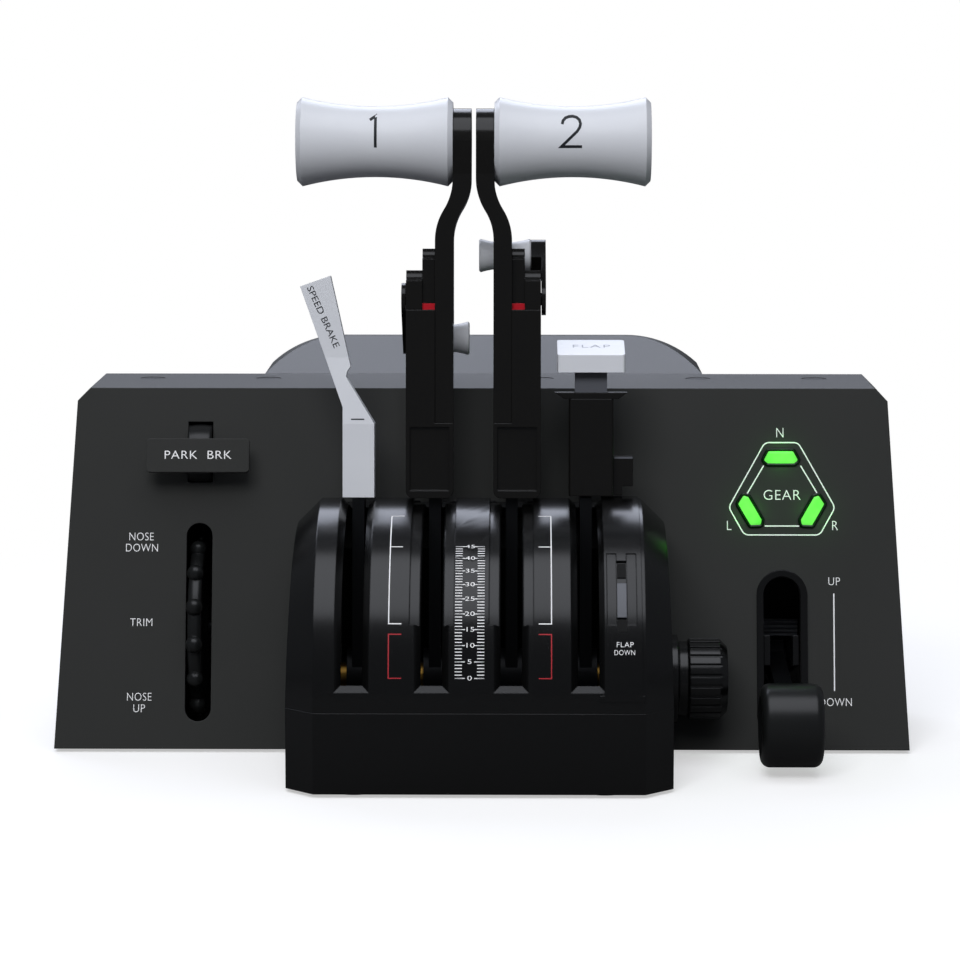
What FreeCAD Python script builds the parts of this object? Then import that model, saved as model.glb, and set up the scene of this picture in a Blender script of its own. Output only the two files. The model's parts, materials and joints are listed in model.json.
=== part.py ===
import FreeCAD, Part
import math
import os
import Sketcher

# Throttle quadrant for a desktop flight simulator, in millimetres.
# +X is to the pilot's right, +Y away from the pilot and +Z up. The origin is the middle of the
# footprint, on the surface that the rubber feet rest on.

Vector = FreeCAD.Vector

doc = FreeCAD.newDocument("ThrottleQuadrant")
sheet = doc.addObject("Spreadsheet::Sheet", "Sizes")

driving = {
    # whole unit
    "totalDepth": 224, "footHeight": 1.5, "footRadius": 9, "footInset": 15, "wall": 3, "fitGap": 0.3,
    "plateThick": 2.5,
    # panel housing, which narrows by panelTaper on each side from its foot to its top
    "panelWidth": 341, "panelTaper": 7.4, "cornerChamfer": 5, "housingHeight": 141,
    "leanAngle": 14, "deckDepth": 57, "windowHalf": 56, "windowTop": 78,
    # columns of controls on the panel, in from its sides
    "leftInset": 57.2, "rightInset": 50.5,
    # hump behind the deck
    "humpWidth": 183, "humpTopWidth": 122, "humpRise": 12, "humpRampLength": 44,
    "rearPanelThick": 2.5,
    # quadrant module in front of the panel
    "moduleHalf": 73.5, "moduleReach": 83.5, "coverRadius": 71.2, "coverShoulder": 11,
    "bandHeight": 31, "sideDraft": 1.7,
    # slots in the cover, angles measured up from the pilot's side
    "slotBottom": 8.4, "slotTop": 108, "slotChamfer": 2.64, "slotWidth": 8, "recessBottom": 27.2,
    "recessWidth": 16.8, "recessDepth": 2,
    "speedBrakeX": -48, "throttleOneX": -18, "throttleTwoX": 12, "flapX": 41,
    # flap gate plate with its shallow track, detent rail and end notches
    "gateWidth": 14.3, "gateThick": 0.8, "gateBottom": 5.6, "gateTop": 96, "gateLip": 1.9,
    "trackWidth": 11.2, "trackBottom": 27, "trackTop": 52, "trackDepth": 0.4, "railWidth": 3.8,
    "railBottom": 30.8, "railTop": 42.3, "notchTop": 49, "gateFeatureX": 12.6,
    # pivot shaft and frames
    "shaftRadius": 4, "boreGap": 0.06, "hubRadius": 12, "hubWidth": 9, "neckThick": 4.7,
    "neckDepth": 15, "frameThick": 3, "frameX": 61, "tieRadius": 3, "tieReach": 22, "tieHeight": 7,
    "frameReach": 30, "spacerRadius": 6.5,
    # lever attitude and heights above the pivot
    "leverLean": 5, "leverFoot": 71.7,
    # throttle levers
    "bodyInner": 7.2, "bodyOuter": 11.3, "bodyTop": 145.1, "bodyFront": 13, "bodyBack": 5.5,
    "bodyCorner": 3, "armThick": 7.2, "armOffset": 3.6, "armTopOffset": 10.5, "armBottom": 101,
    "bendStart": 172, "bendEnd": 196, "armFront": 12.2, "armBack": 4, "armEyeRadius": 13,
    "armRound": 1, "knobHeight": 210.8, "knobLength": 61, "knobRadius": 17.4, "knobWaist": 13.8,
    "knobBevel": 2, "latchTop": 169, "hookTop": 160.5, "latchWidth": 5, "latchDepth": 8,
    "latchRound": 4, "detentThick": 2.5, "hollowDepth": 1.6,
    # reverse levers: turned up or down from level by these angles when at rest
    "reverserPivot": 149.3, "reverserArm": 26, "reverserRaised": 42, "reverserLowered": 36.5,
    "reverserRadius": 6.3, "reverserPin": 2.5, "reverserPlate": 1.7, "reverserCheek": 8,
    "reverserKnobLength": 20.6, "reverserKnobRadius": 6.65, "reverserKnobWaist": 5.2,
    "reverserKnobBevel": 0.6,
    # speed brake handle
    "brakeHalf": 6.2, "brakeDepth": 14, "brakeBlockTop": 100.5, "brakeTop": 158.4, "brakeRound": 1.2,
    # flap lever
    "flapBodyTop": 110.4, "flapInner": 6.7, "flapOuter": 10.7, "flapDepth": 19, "flapRound": 1.2,
    "collarThick": 2.5, "collarHalf": 14.2, "collarSlope": 3.5, "stemWidth": 12.6, "stemDepth": 7,
    "stemTop": 120.7, "stemBottom": 95, "flapHandleWidth": 26.4, "flapHandleFront": 6.8,
    "flapHandleBack": 12.6, "flapHandleDepth": 17, "latchReach": 7.8, "latchNeck": 3.6,
    # trim wheel
    "trimHeight": 50.8, "trimSlotWidth": 10.4, "trimSlotLength": 79.6, "trimRadius": 36,
    "trimNubRadius": 3.6, "trimNubs": 13, "trimProud": 11, "trimWidth": 6, "axleRadius": 3,
    "earHalf": 6, "earThick": 2.5,
    # park brake, placed down from the top of the panel
    "parkDrop": 26, "parkDrumRadius": 12, "parkDrumWidth": 9.4, "parkDepth": 5,
    "parkPlateWidth": 41, "parkPlateHeight": 13.6, "parkPlateThick": 3, "parkSag": 2.9,
    "parkStem": 8, "parkProud": 10, "parkPinRadius": 1.5, "parkRound": 1.6,
    # gear lights, placed down from the top of the panel
    "lampDrop": 42.7, "lampReach": 15.1, "lampLong": 13.4, "lampSlope": 1.7, "lampTall": 4.8,
    "lampProud": 0.6, "lampRim": 1.2, "boardRim": 9, "pegReach": 6,
    # gear lever
    "gearHinge": 40, "gearDepth": 45, "gearDroop": 19.5, "gearReach": 96.3,
    "gearArmHeight": 8, "gearArmThick": 7, "gearHubRadius": 7, "gearWheelWidth": 24,
    "gearWheelRadius": 16.25, "gearWheelBevel": 3.4, "gearSlotLow": 13.6, "gearSlotHigh": 61.9,
    "gearSlotRadius": 7.4, "bezelRim": 2.7, "bezelThick": 1.2,
    # friction knob
    "frictionLength": 22.8, "frictionRadius": 16, "frictionFlange": 17.4, "frictionNeck": 8,
    "frictionBevel": 3, "frictionRibs": 24, "ribDepth": 0.8, "ribWidth": 1.9,
    # small parts
    "screwRadius": 5, "screwDepth": 1.2, "screwHeight": 1, "screwSetback": 38.5, "screwInset": 33.8,
    "screwPitch": 48, "baseScrewRadius": 3, "boardThick": 1.6, "standoff": 4, "postRadius": 3,
    "mainBoardWidth": 90, "mainBoardDepth": 50, "chipSize": 12, "chipPitch": 24,
    "socketWidth": 12, "socketHeight": 10.5, "socketLow": 12, "socketLip": 1.7,
}

for row, (alias, size) in enumerate(driving.items(), start=1):
    sheet.set(f"A{row}", alias)
    sheet.set(f"B{row}", str(size))
    sheet.setAlias(f"B{row}", alias)
doc.recompute()

# Places that several pieces share, as expressions of the driving sizes.
frontY = "(gateThick - totalDepth / 2)"
rearY = "(totalDepth / 2)"
footY = "(moduleReach - totalDepth / 2)"
deckFrontY = f"({footY} + housingHeight * tan(leanAngle))"
deckRearY = f"({deckFrontY} + deckDepth)"
deckZ = "(footHeight + housingHeight)"
pivotY = "(coverRadius + gateThick - totalDepth / 2)"
pivotZ = "(footHeight + bandHeight)"
plateTop = "(footHeight + plateThick)"
leftX = "(leftInset - panelWidth / 2)"
rightX = "(panelWidth / 2 - rightInset)"
parkHeight = "(housingHeight / cos(leanAngle) - parkDrop)"
lampHeight = "(housingHeight / cos(leanAngle) - lampDrop)"


def value(text):
    """Number that an expression of the driving sizes stands for."""
    result = sheet.evalExpression(text)
    return float(getattr(result, "Value", result))


def bind(thing, prop, text):
    """Tie a property to the sheet when the text names a size, else set it."""
    words = []
    word = ""
    for letter in text + " ":
        if letter.isalnum():
            word += letter
            continue
        words.append(f"Sizes.{word}" if word in driving else word)
        words.append(letter)
        word = ""
    bound = "".join(words).strip()
    if "Sizes." in bound:
        thing.setExpression(prop, bound)


def newBody(name, x="0", y="0", z="0", tilt="0", many=False):
    """Body at a place, turned about X; many allows a group of equal solids."""
    body = doc.addObject("PartDesign::Body", name)
    body.Label = name
    body.AllowCompound = many
    turn = FreeCAD.Rotation(Vector(1, 0, 0), value(tilt))
    body.Placement = FreeCAD.Placement(Vector(value(x), value(y), value(z)), turn)
    for axis, text in zip("xyz", (x, y, z)):
        bind(body, f"Placement.Base.{axis}", text)
    if tilt != "0":
        bind(body, "Placement.Rotation.Angle", tilt)
    return body


def onPanel(x, up, proud="0"):
    """Place on the slanted panel: up the face from its foot, and out from the face."""
    y = f"{footY} + ({up}) * sin(leanAngle) - ({proud}) * cos(leanAngle)"
    z = f"footHeight + ({up}) * cos(leanAngle) + ({proud}) * sin(leanAngle)"
    return x, y, z


def panelBody(name, x, up, proud="0", many=False):
    """Body whose XY plane lies on the slanted panel, with +Y up it and +Z out of it."""
    x, y, z = onPanel(x, up, proud)
    return newBody(name, x, y, z, "90 - leanAngle", many)


def leverBody(name, x, radius="0", back="0", turn="0"):
    """Body on a lever: +Z runs along the lever, away from the pivot shaft."""
    y = f"{pivotY} + ({radius}) * sin(leverLean) + ({back}) * cos(leverLean)"
    z = f"{pivotZ} + ({radius}) * cos(leverLean) - ({back}) * sin(leverLean)"
    return newBody(name, x, y, z, f"{turn} - leverLean")


def newSketch(body, plane, lift="0", turn="0"):
    """Sketch on one of the body's own origin planes, lifted along its normal."""
    sketch = body.newObject("Sketcher::SketchObject", f"{body.Name}_sketch")
    support = [item for item in body.Origin.OriginFeatures if item.Role == f"{plane}_Plane"]
    sketch.AttachmentSupport = [(support[0], "")]
    sketch.MapMode = "FlatFace"
    tilt = FreeCAD.Rotation(Vector(1, 0, 0), value(turn))
    sketch.AttachmentOffset = FreeCAD.Placement(Vector(0, 0, value(lift)), tilt)
    if lift != "0":
        bind(sketch, "AttachmentOffset.Base.z", lift)
    if turn != "0":
        bind(sketch, "AttachmentOffset.Rotation.Angle", turn)
    return sketch


def pin(sketch, kind, edge, point, text):
    """Tie one coordinate of a sketch point to an expression."""
    index = sketch.addConstraint(Sketcher.Constraint(kind, -1, 1, edge, point, value(text)))
    bind(sketch, f"Constraints[{index}]", text)


def arcBetween(start, end, radius, left):
    """Arc from start to end, bulging to the left or the right of the way between them."""
    middle = (start + end) * 0.5
    chord = end - start
    across = Vector(-chord.y, chord.x, 0).normalize()
    half = chord.Length / 2
    radius = radius or half
    depth = math.sqrt(max(radius * radius - half * half, 0))
    centre = middle - across * depth if left else middle + across * depth
    first, last = (end, start) if left else (start, end)
    circle = Part.Circle(centre, Vector(0, 0, 1), radius)
    return Part.ArcOfCircle(circle, circle.parameter(first), circle.parameter(last))


def outline(sketch, points, arcs=None):
    """Closed outline through the points.

    arcs gives (radius, bulges left) by edge number, and no radius stands for a half circle
    on an edge that runs along one axis of the sketch.
    """
    arcs = arcs or {}
    corners = [Vector(value(x), value(y), 0) for x, y in points]
    edges = []
    for number, start in enumerate(corners):
        end = corners[(number + 1) % len(corners)]
        if number in arcs:
            radius, left = arcs[number]
            size = value(radius) if radius else 0
            edge = sketch.addGeometry(arcBetween(start, end, size, left), False)
            edges.append((edge, 2, 1) if left else (edge, 1, 2))
        else:
            edges.append((sketch.addGeometry(Part.LineSegment(start, end), False), 1, 2))
    for number, (edge, start, end) in enumerate(edges):
        after, afterStart, _ = edges[(number + 1) % len(edges)]
        sketch.addConstraint(Sketcher.Constraint("Coincident", edge, end, after, afterStart))
        pin(sketch, "DistanceX", edge, start, points[number][0])
        pin(sketch, "DistanceY", edge, start, points[number][1])
        if number not in arcs:
            continue
        radius = arcs[number][0]
        level = abs(corners[number].y - corners[(number + 1) % len(corners)].y) < 1e-6
        if radius:
            index = sketch.addConstraint(Sketcher.Constraint("Radius", edge, value(radius)))
            bind(sketch, f"Constraints[{index}]", radius)
        elif level:
            pin(sketch, "DistanceY", edge, 3, points[number][1])
        else:
            pin(sketch, "DistanceX", edge, 3, points[number][0])
    return sketch


def box(sketch, left, low, right, high):
    """Closed rectangle between two corners."""
    return outline(sketch, block(left, low, right, high))


def ring(sketch, x, y, radius):
    """Full circle."""
    centre = Vector(value(x), value(y), 0)
    edge = sketch.addGeometry(Part.Circle(centre, Vector(0, 0, 1), value(radius)), False)
    pin(sketch, "DistanceX", edge, 3, x)
    pin(sketch, "DistanceY", edge, 3, y)
    index = sketch.addConstraint(Sketcher.Constraint("Radius", edge, value(radius)))
    bind(sketch, f"Constraints[{index}]", radius)
    return sketch


def racetrack(sketch, x, low, high, radius):
    """Upright slot shape: two half circles of a radius joined by straight sides."""
    return outline(sketch, [(f"{x} - {radius}", low), (f"{x} + {radius}", low),
                            (f"{x} + {radius}", high), (f"{x} - {radius}", high)],
                   {0: (None, False), 2: (None, False)})


def finish(body, feature, cuts):
    """Recompute and make sure that the feature changed the body the way it should."""
    before = body.Shape.Volume if cuts else 0
    doc.recompute()
    if cuts and not feature.Shape.Volume < before - 1e-6:
        raise RuntimeError(f"{feature.Name} cuts nothing from {body.Name}")
    if "Invalid" in feature.State or "Error" in feature.State or feature.Shape.isNull():
        raise RuntimeError(f"{feature.Name} in {body.Name} failed")
    return feature


def extrude(body, kind, sketch, length, both=False, backwards=False):
    """Pad or Pocket of a sketch; both runs it half each way."""
    feature = body.newObject(f"PartDesign::{kind}", f"{body.Name}_{kind}")
    feature.Profile = sketch
    feature.Length = value(length)
    bind(feature, "Length", length)
    feature.SideType = "Symmetric" if both else "One side"
    feature.Reversed = backwards
    sketch.Visibility = False
    return finish(body, feature, kind == "Pocket")


def pad(body, sketch, length, both=False, backwards=False):
    return extrude(body, "Pad", sketch, length, both, backwards)


def pocket(body, sketch, length, both=False, backwards=False):
    return extrude(body, "Pocket", sketch, length, both, backwards)


def spin(body, kind, sketch, angle="360", axis="H_Axis", both=False, backwards=False):
    """Revolution or Groove of a sketch about one of its own axes."""
    feature = body.newObject(f"PartDesign::{kind}", f"{body.Name}_{kind}")
    feature.Profile = sketch
    feature.ReferenceAxis = (sketch, [axis])
    feature.Angle = value(angle)
    bind(feature, "Angle", angle)
    feature.Midplane = both
    feature.Reversed = backwards
    return finish(body, feature, kind == "Groove")


def arcCut(body, points, low, high):
    """Groove round the shaft axis, between two angles up from the pilot's side."""
    sketch = newSketch(body, "XY", turn=f"-(({low}) + ({high})) / 2")
    outline(sketch, points)
    return spin(body, "Groove", sketch, f"({high}) - ({low})", both=True)


def arcAdd(body, points, low, high):
    """The same, as material."""
    sketch = newSketch(body, "XY", turn=f"-(({low}) + ({high})) / 2")
    outline(sketch, points)
    return spin(body, "Revolution", sketch, f"({high}) - ({low})", both=True)


def block(left, low, right, high):
    """Corners of a rectangle."""
    return [(left, low), (right, low), (right, high), (left, high)]


def roundEdges(body, kind, size, chosen):
    """Fillet or Chamfer on the edges of the body's tip that chosen(edge) accepts."""
    tip = body.Tip
    names = [f"Edge{i}" for i, edge in enumerate(tip.Shape.Edges, start=1) if chosen(edge)]
    feature = body.newObject(f"PartDesign::{kind}", f"{body.Name}_{kind}")
    feature.Base = (tip, names)
    prop = "Radius" if kind == "Fillet" else "Size"
    setattr(feature, prop, value(size))
    bind(feature, prop, size)
    return finish(body, feature, False)


def along(edge, axis):
    """True for a straight edge that runs along one axis of its body."""
    ends = [vertex.Point for vertex in edge.Vertexes]
    if len(ends) < 2 or not isinstance(edge.Curve, Part.Line):
        return False
    span = ends[1] - ends[0]
    return abs(span.dot(axis)) > 0.999 * span.Length


def mirrored(points):
    """Closed outline from the right half of a symmetric one, listed from the front to the back."""
    left = [(f"-({x})", y) for x, y in reversed(points)]
    return points + left


# ---------------------------------------------------------------- base plate, feet and screws

plateInset = "(wall + fitGap)"
innerFootY = f"({footY} + wall / cos(leanAngle) + (plateThick + fitGap) * tan(leanAngle))"
humpHalf = "(humpWidth / 2)"
plateHalf = [
    (f"moduleHalf - coverShoulder - {plateInset} / 2", f"{frontY} + {plateInset}"),
    (f"moduleHalf - {plateInset}", f"{frontY} + coverShoulder + {plateInset} / 2"),
    (f"moduleHalf - {plateInset}", f"{footY} - fitGap"),
    ("windowHalf - fitGap", f"{footY} - fitGap"),
    ("windowHalf - fitGap", innerFootY),
    (f"panelWidth / 2 - {plateInset} - fitGap", innerFootY),
    (f"panelWidth / 2 - {plateInset} - fitGap", f"{deckRearY} - {plateInset}"),
    (f"{humpHalf} - {plateInset}", f"{deckRearY} - {plateInset}"),
    (f"{humpHalf} - {plateInset}", f"{rearY} - rearPanelThick - fitGap"),
]

basePlate = newBody("base_plate", z="footHeight")
pad(basePlate, outline(newSketch(basePlate, "XY"), mirrored(plateHalf)), "plateThick")

footPlaces = [
    ("moduleHalf - coverShoulder - footInset", f"{frontY} + footInset"),
    ("panelWidth / 2 - footInset", f"{footY} + footInset + wall"),
    ("panelWidth / 2 - footInset", f"{deckRearY} - footInset"),
    (f"{humpHalf} - footInset", f"{rearY} - footInset"),
]
feet = newBody("rubber_feet", many=True)
footSketch = newSketch(feet, "XY")
for x, y in mirrored(footPlaces):
    ring(footSketch, x, y, "footRadius")
pad(feet, footSketch, "footHeight")

screwPlaces = [("moduleHalf / 3", f"{frontY} + 2 * footRadius"),
               ("panelWidth / 2 - 3 * footInset", f"{footY} + footInset"),
               ("panelWidth / 2 - 3 * footInset", f"{deckRearY} - footInset")]
baseScrews = newBody("base_screws", z="footHeight", many=True)
screwSketch = newSketch(baseScrews, "XY")
for x, y in mirrored(screwPlaces):
    ring(screwSketch, x, y, "baseScrewRadius")
pad(baseScrews, screwSketch, "screwHeight", backwards=True)

# ---------------------------------------------------------------- panel housing

housing = newBody("panel_housing", z="footHeight")
sidePoints = [(footY, "0"), (deckFrontY, "housingHeight"), (deckRearY, "housingHeight"), (deckRearY, "0")]
pad(housing, outline(newSketch(housing, "YZ"), sidePoints), "panelWidth", both=True)

topHalf = "(panelWidth / 2 - panelTaper)"
for side in ("", "-"):
    trim = newSketch(housing, "XZ")
    outline(trim, [(f"{side}panelWidth / 2", "0"),
                   (f"{side}{topHalf}", "housingHeight - cornerChamfer"),
                   (f"{side}({topHalf} - cornerChamfer)", "housingHeight"),
                   (f"{side}(panelWidth / 2 + 1)", "housingHeight"),
                   (f"{side}(panelWidth / 2 + 1)", "0")])
    pocket(housing, trim, "2 * totalDepth", both=True)

underside = [f"Face{i}" for i, face in enumerate(housing.Shape.Faces, start=1)
             if face.CenterOfMass.z < value("footHeight") + 0.01]
solidHousing = housing.Tip
shell = housing.newObject("PartDesign::Thickness", "panel_housing_shell")
shell.Base = (solidHousing, underside)
shell.Value = value("wall")
bind(shell, "Value", "wall")
shell.Reversed = True
shell.Join = "Intersection"
finish(housing, shell, False)

frontWindow = box(newSketch(housing, "XZ", f"-({footY})"), "-windowHalf", "-1", "windowHalf", "windowTop")
pocket(housing, frontWindow, "housingHeight * tan(leanAngle)")
rearWindow = box(newSketch(housing, "XZ", f"-({deckRearY}) - 1"), f"-{humpHalf} + wall", "-1",
                 f"{humpHalf} - wall", "housingHeight - 3 * wall")
pocket(housing, rearWindow, "2 * wall", backwards=True)


def panelSketch(body):
    """Sketch on the slanted face of the housing, y up the face from its foot."""
    sketch = newSketch(body, "XZ", turn="-leanAngle")
    sketch.AttachmentOffset = FreeCAD.Placement(
        Vector(0, 0, -value(footY)), FreeCAD.Rotation(Vector(1, 0, 0), -value("leanAngle")))
    bind(sketch, "AttachmentOffset.Base.z", f"-({footY})")
    return sketch


trimLow = "(trimHeight - trimSlotLength / 2 + trimSlotWidth / 2)"
trimHigh = "(trimHeight + trimSlotLength / 2 - trimSlotWidth / 2)"
throughPanel = "2 * wall"
pocket(housing, racetrack(panelSketch(housing), leftX, trimLow, trimHigh, "(trimSlotWidth / 2)"),
       throughPanel, both=True)
pocket(housing, racetrack(panelSketch(housing), rightX, "gearSlotLow", "gearSlotHigh",
                          "(gearSlotRadius)"), throughPanel, both=True)
parkHalf = "(parkDrumRadius + fitGap)"
parkWide = "(parkDrumWidth / 2 + fitGap)"
pocket(housing, box(panelSketch(housing), f"{leftX} - {parkWide}", f"{parkHeight} - {parkHalf}",
                    f"{leftX} + {parkWide}", f"{parkHeight} + {parkHalf}"),
       throughPanel, both=True)


def lampCorners(turn, grow):
    """Corners of one lamp: a trapezoid with its long side inwards, turned about the cluster."""
    half = f"(lampLong / 2 + {grow})"
    short = f"(lampLong / 2 - lampSlope + {grow})"
    near = f"(lampReach - lampTall / 2 - {grow})"
    far = f"(lampReach + lampTall / 2 + {grow})"
    corners = []
    for across, out in ((f"-{half}", near), (half, near), (short, far), (f"-{short}", far)):
        x = f"{rightX} + ({across}) * cos({turn}) - ({out}) * sin({turn})"
        y = f"{lampHeight} + ({across}) * sin({turn}) + ({out}) * cos({turn})"
        corners.append((x, y))
    return corners


lampTurns = {"nose": "0", "left": "120", "right": "240"}
lampHoles = panelSketch(housing)
for turn in lampTurns.values():
    outline(lampHoles, lampCorners(turn, "fitGap / 2"))
pocket(housing, lampHoles, throughPanel, both=True)

deckScrewX = []
for side in ("", "-"):
    deckScrewX += [f"{side}(panelWidth / 2 - screwInset)",
                   f"{side}(panelWidth / 2 - screwInset - screwPitch)", f"{side}screwPitch / 2"]
sinks = newSketch(housing, "XY", "housingHeight")
for x in deckScrewX:
    ring(sinks, x, f"{deckFrontY} + screwSetback", "screwRadius + fitGap / 2")
pocket(housing, sinks, "screwDepth")

deckScrews = newBody("deck_screws", z=f"{deckZ} - screwDepth", many=True)
heads = newSketch(deckScrews, "XY")
for x in deckScrewX:
    ring(heads, x, f"{deckFrontY} + screwSetback", "screwRadius")
pad(deckScrews, heads, "screwHeight")

# ---------------------------------------------------------------- hump cover and rear panel

hump = newBody("hump_cover", z="footHeight")
shoulder = f"({humpHalf} - humpTopWidth / 2)"
shoulderRadius = f"(({shoulder}^2 + humpRise^2) / (2 * humpRise))"
humpTop = "(housingHeight + humpRise)"
pad(hump, outline(newSketch(hump, "XZ", f"-({deckRearY})"),
                  [(f"-{humpHalf}", "0"), (humpHalf, "0"), (humpHalf, "housingHeight"),
                   ("humpTopWidth / 2", humpTop), ("-humpTopWidth / 2", humpTop),
                   (f"-{humpHalf}", "housingHeight")],
                  {2: (shoulderRadius, False), 4: (shoulderRadius, False)}),
    f"{rearY} - {deckRearY}", backwards=True)
ramp = newSketch(hump, "YZ")
outline(ramp, [(f"{deckRearY} - 1", "housingHeight - humpRise / humpRampLength"),
               (f"{deckRearY} + humpRampLength", humpTop), (f"{deckRearY} - 1", humpTop + " + 1")])
pocket(hump, ramp, "humpWidth", both=True)
pocket(hump, box(newSketch(hump, "XZ", f"-({rearY})"), f"-{humpHalf} + wall", "-1",
                 f"{humpHalf} - wall", "housingHeight - wall"), "totalDepth", both=True)

rearPanel = newBody("rear_panel", y=f"{rearY}", z=plateTop)
rearHigh = "(housingHeight - wall - plateThick - 2 * fitGap)"
pad(rearPanel, box(newSketch(rearPanel, "XZ"), f"-{humpHalf} + wall + fitGap", "fitGap",
                   f"{humpHalf} - wall - fitGap", rearHigh), "rearPanelThick")
pocket(rearPanel, box(newSketch(rearPanel, "XZ"), "-socketWidth / 2", "socketLow", "socketWidth / 2",
                      "socketLow + socketHeight"), "4 * rearPanelThick", both=True)

socket = newBody("data_socket", y=f"{rearY}", z=plateTop)
socketGap = "(fitGap / 3)"
pad(socket, box(newSketch(socket, "XZ"), f"-socketWidth / 2 + {socketGap}", f"socketLow + {socketGap}",
                f"socketWidth / 2 - {socketGap}", f"socketLow + socketHeight - {socketGap}"), "5 * wall")
pocket(socket, box(newSketch(socket, "XZ"), "-socketWidth / 2 + socketLip", "socketLow + socketLip",
                   "socketWidth / 2 - socketLip", "socketLow + socketHeight - socketLip"), "3 * wall",
       backwards=True)

# ---------------------------------------------------------------- quadrant module

band = newBody("quadrant_base", z="footHeight")
faceHalf = "(moduleHalf - coverShoulder)"
bandHalf = [(faceHalf, frontY), ("moduleHalf", f"{frontY} + coverShoulder"),
            ("moduleHalf", deckFrontY)]
pad(band, outline(newSketch(band, "XY"), mirrored(bandHalf)), "bandHeight")


def behindPanel(body, originY, originZ, gap="0"):
    """Cut away what lies behind the slanted face, in a body placed at the given origin."""
    low = f"(footHeight - ({originZ}) - 2)"
    high = "(coverRadius + bandHeight)"
    start = f"({footY} - ({originY}) + ({low} + ({originZ}) - footHeight) * tan(leanAngle) - {gap})"
    sketch = newSketch(body, "YZ")
    outline(sketch, [(start, low), (f"{start} + ({high} - {low}) * tan(leanAngle)", high),
                     (f"{start} + totalDepth", high), (f"{start} + totalDepth", low)])
    pocket(body, sketch, "3 * moduleHalf", both=True)


behindPanel(band, "0", "footHeight")
innerHalf = [(f"{faceHalf} - wall / 2", f"{frontY} + wall"),
             ("moduleHalf - wall", f"{frontY} + coverShoulder + wall / 2"),
             ("moduleHalf - wall", deckFrontY)]
pocket(band, outline(newSketch(band, "XY", "bandHeight"), mirrored(innerHalf)), "2 * bandHeight",
       both=True)

cover = newBody("quadrant_cover", y=pivotY, z=pivotZ)


def coverProfile(sketch, inset):
    """Half section of the cover: side, bevelled shoulder and crest, down to the shaft axis."""
    side = f"(moduleHalf - {inset})"
    crest = f"(-coverRadius + {inset})"
    face = f"({faceHalf} - {inset} / 2)"
    turn = f"(-coverRadius + coverShoulder + {inset} / 2)"
    return outline(sketch, [(f"-{side}", "0"), (f"-{side}", turn), (f"-{face}", crest),
                            (face, crest), (side, turn), (side, "0")])


spin(cover, "Revolution", coverProfile(newSketch(cover, "XY"), "0"), "135", backwards=True)
spin(cover, "Groove", coverProfile(newSketch(cover, "XY"), "wall"), "360")
behindPanel(cover, pivotY, pivotZ)
for side in ("", "-"):
    draft = newSketch(cover, "XZ")
    outline(draft, [(f"{side}moduleHalf", "0"),
                    (f"{side}(moduleHalf - (coverRadius + 1) * tan(sideDraft))", "coverRadius + 1"),
                    (f"{side}(moduleHalf + 1)", "coverRadius + 1"), (f"{side}(moduleHalf + 1)", "0")])
    pocket(cover, draft, "3 * coverRadius", both=True)

slotPlaces = ["speedBrakeX", "throttleOneX", "throttleTwoX", "flapX"]
surface = "(-coverRadius)"
above = "(-coverRadius - 1)"
half = "(slotWidth / 2)"
for x in slotPlaces:
    arcCut(cover, block(f"{x} - {half}", f"{surface} + 2 * wall", f"{x} + {half}", above),
           "slotBottom", "slotTop")


def onSlotRim(edge):
    """True for the outer edges along the slots and at their lower ends."""
    centre = edge.CenterOfMass
    ends = [vertex.Point for vertex in edge.Vertexes]
    radii = [math.hypot(point.y, point.z) for point in ends]
    if max(abs(radius - value("coverRadius")) for radius in radii) > 0.01:
        return False
    nearest = min(abs(centre.x - value(x)) for x in slotPlaces)
    return nearest < value("slotWidth") / 2 + 0.01 and centre.z < value("coverRadius * 0.96")


roundEdges(cover, "Chamfer", "slotChamfer", onSlotRim)
for x in ("throttleOneX", "throttleTwoX"):
    recess = block(f"{x} - recessWidth / 2", f"{surface} + recessDepth", f"{x} + recessWidth / 2", above)
    arcCut(cover, recess, "recessBottom", "slotTop")

shaftHole = ring(newSketch(cover, "YZ", "moduleHalf - 2 * wall"), "0", "0", "shaftRadius + fitGap")
pocket(cover, shaftHole, "3 * wall", backwards=True)
pocket(band, ring(newSketch(band, "YZ", "moduleHalf - 2 * wall"), pivotY, "bandHeight",
                  "shaftRadius + fitGap"), "3 * wall", backwards=True)

gate = newBody("flap_gate_plate", y=pivotY, z=pivotZ)
gateLeft = "(flapX + slotWidth / 2 + 2)"
gateFloor = "(-coverRadius - 0.05)"
gateFace = "(-coverRadius - gateThick)"
gateRight = f"({gateLeft} + gateWidth)"
trackX = "(flapX + gateFeatureX)"
arcAdd(gate, block(gateLeft, gateFloor, gateRight, gateFace), "gateBottom", "gateTop")
arcAdd(gate, block(f"{gateLeft} - gateLip", gateFloor, f"{gateRight} + gateLip / 2", gateFace),
       "gateBottom - gateLip", "gateBottom")
for start, end in ((f"{trackX} - trackWidth / 2", f"{trackX} - railWidth / 2"),
                   (f"{trackX} + railWidth / 2", f"{trackX} + trackWidth / 2")):
    arcCut(gate, block(start, f"{gateFace} + trackDepth", end, above), "trackBottom", "trackTop")
for low, high in (("trackBottom", "railBottom"), ("railTop", "notchTop")):
    notch = block(f"{trackX} - railWidth / 2", "-coverRadius", f"{trackX} + railWidth / 2", above)
    arcCut(gate, notch, low, high)

# ---------------------------------------------------------------- shaft, frames and spacers

shaft = newBody("pivot_shaft", x=f"-frameX - frameThick", y=pivotY, z=pivotZ)
pad(shaft, ring(newSketch(shaft, "YZ"), "0", "0", "shaftRadius"),
    "frameX + frameThick + moduleHalf + frictionLength - 6")

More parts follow.
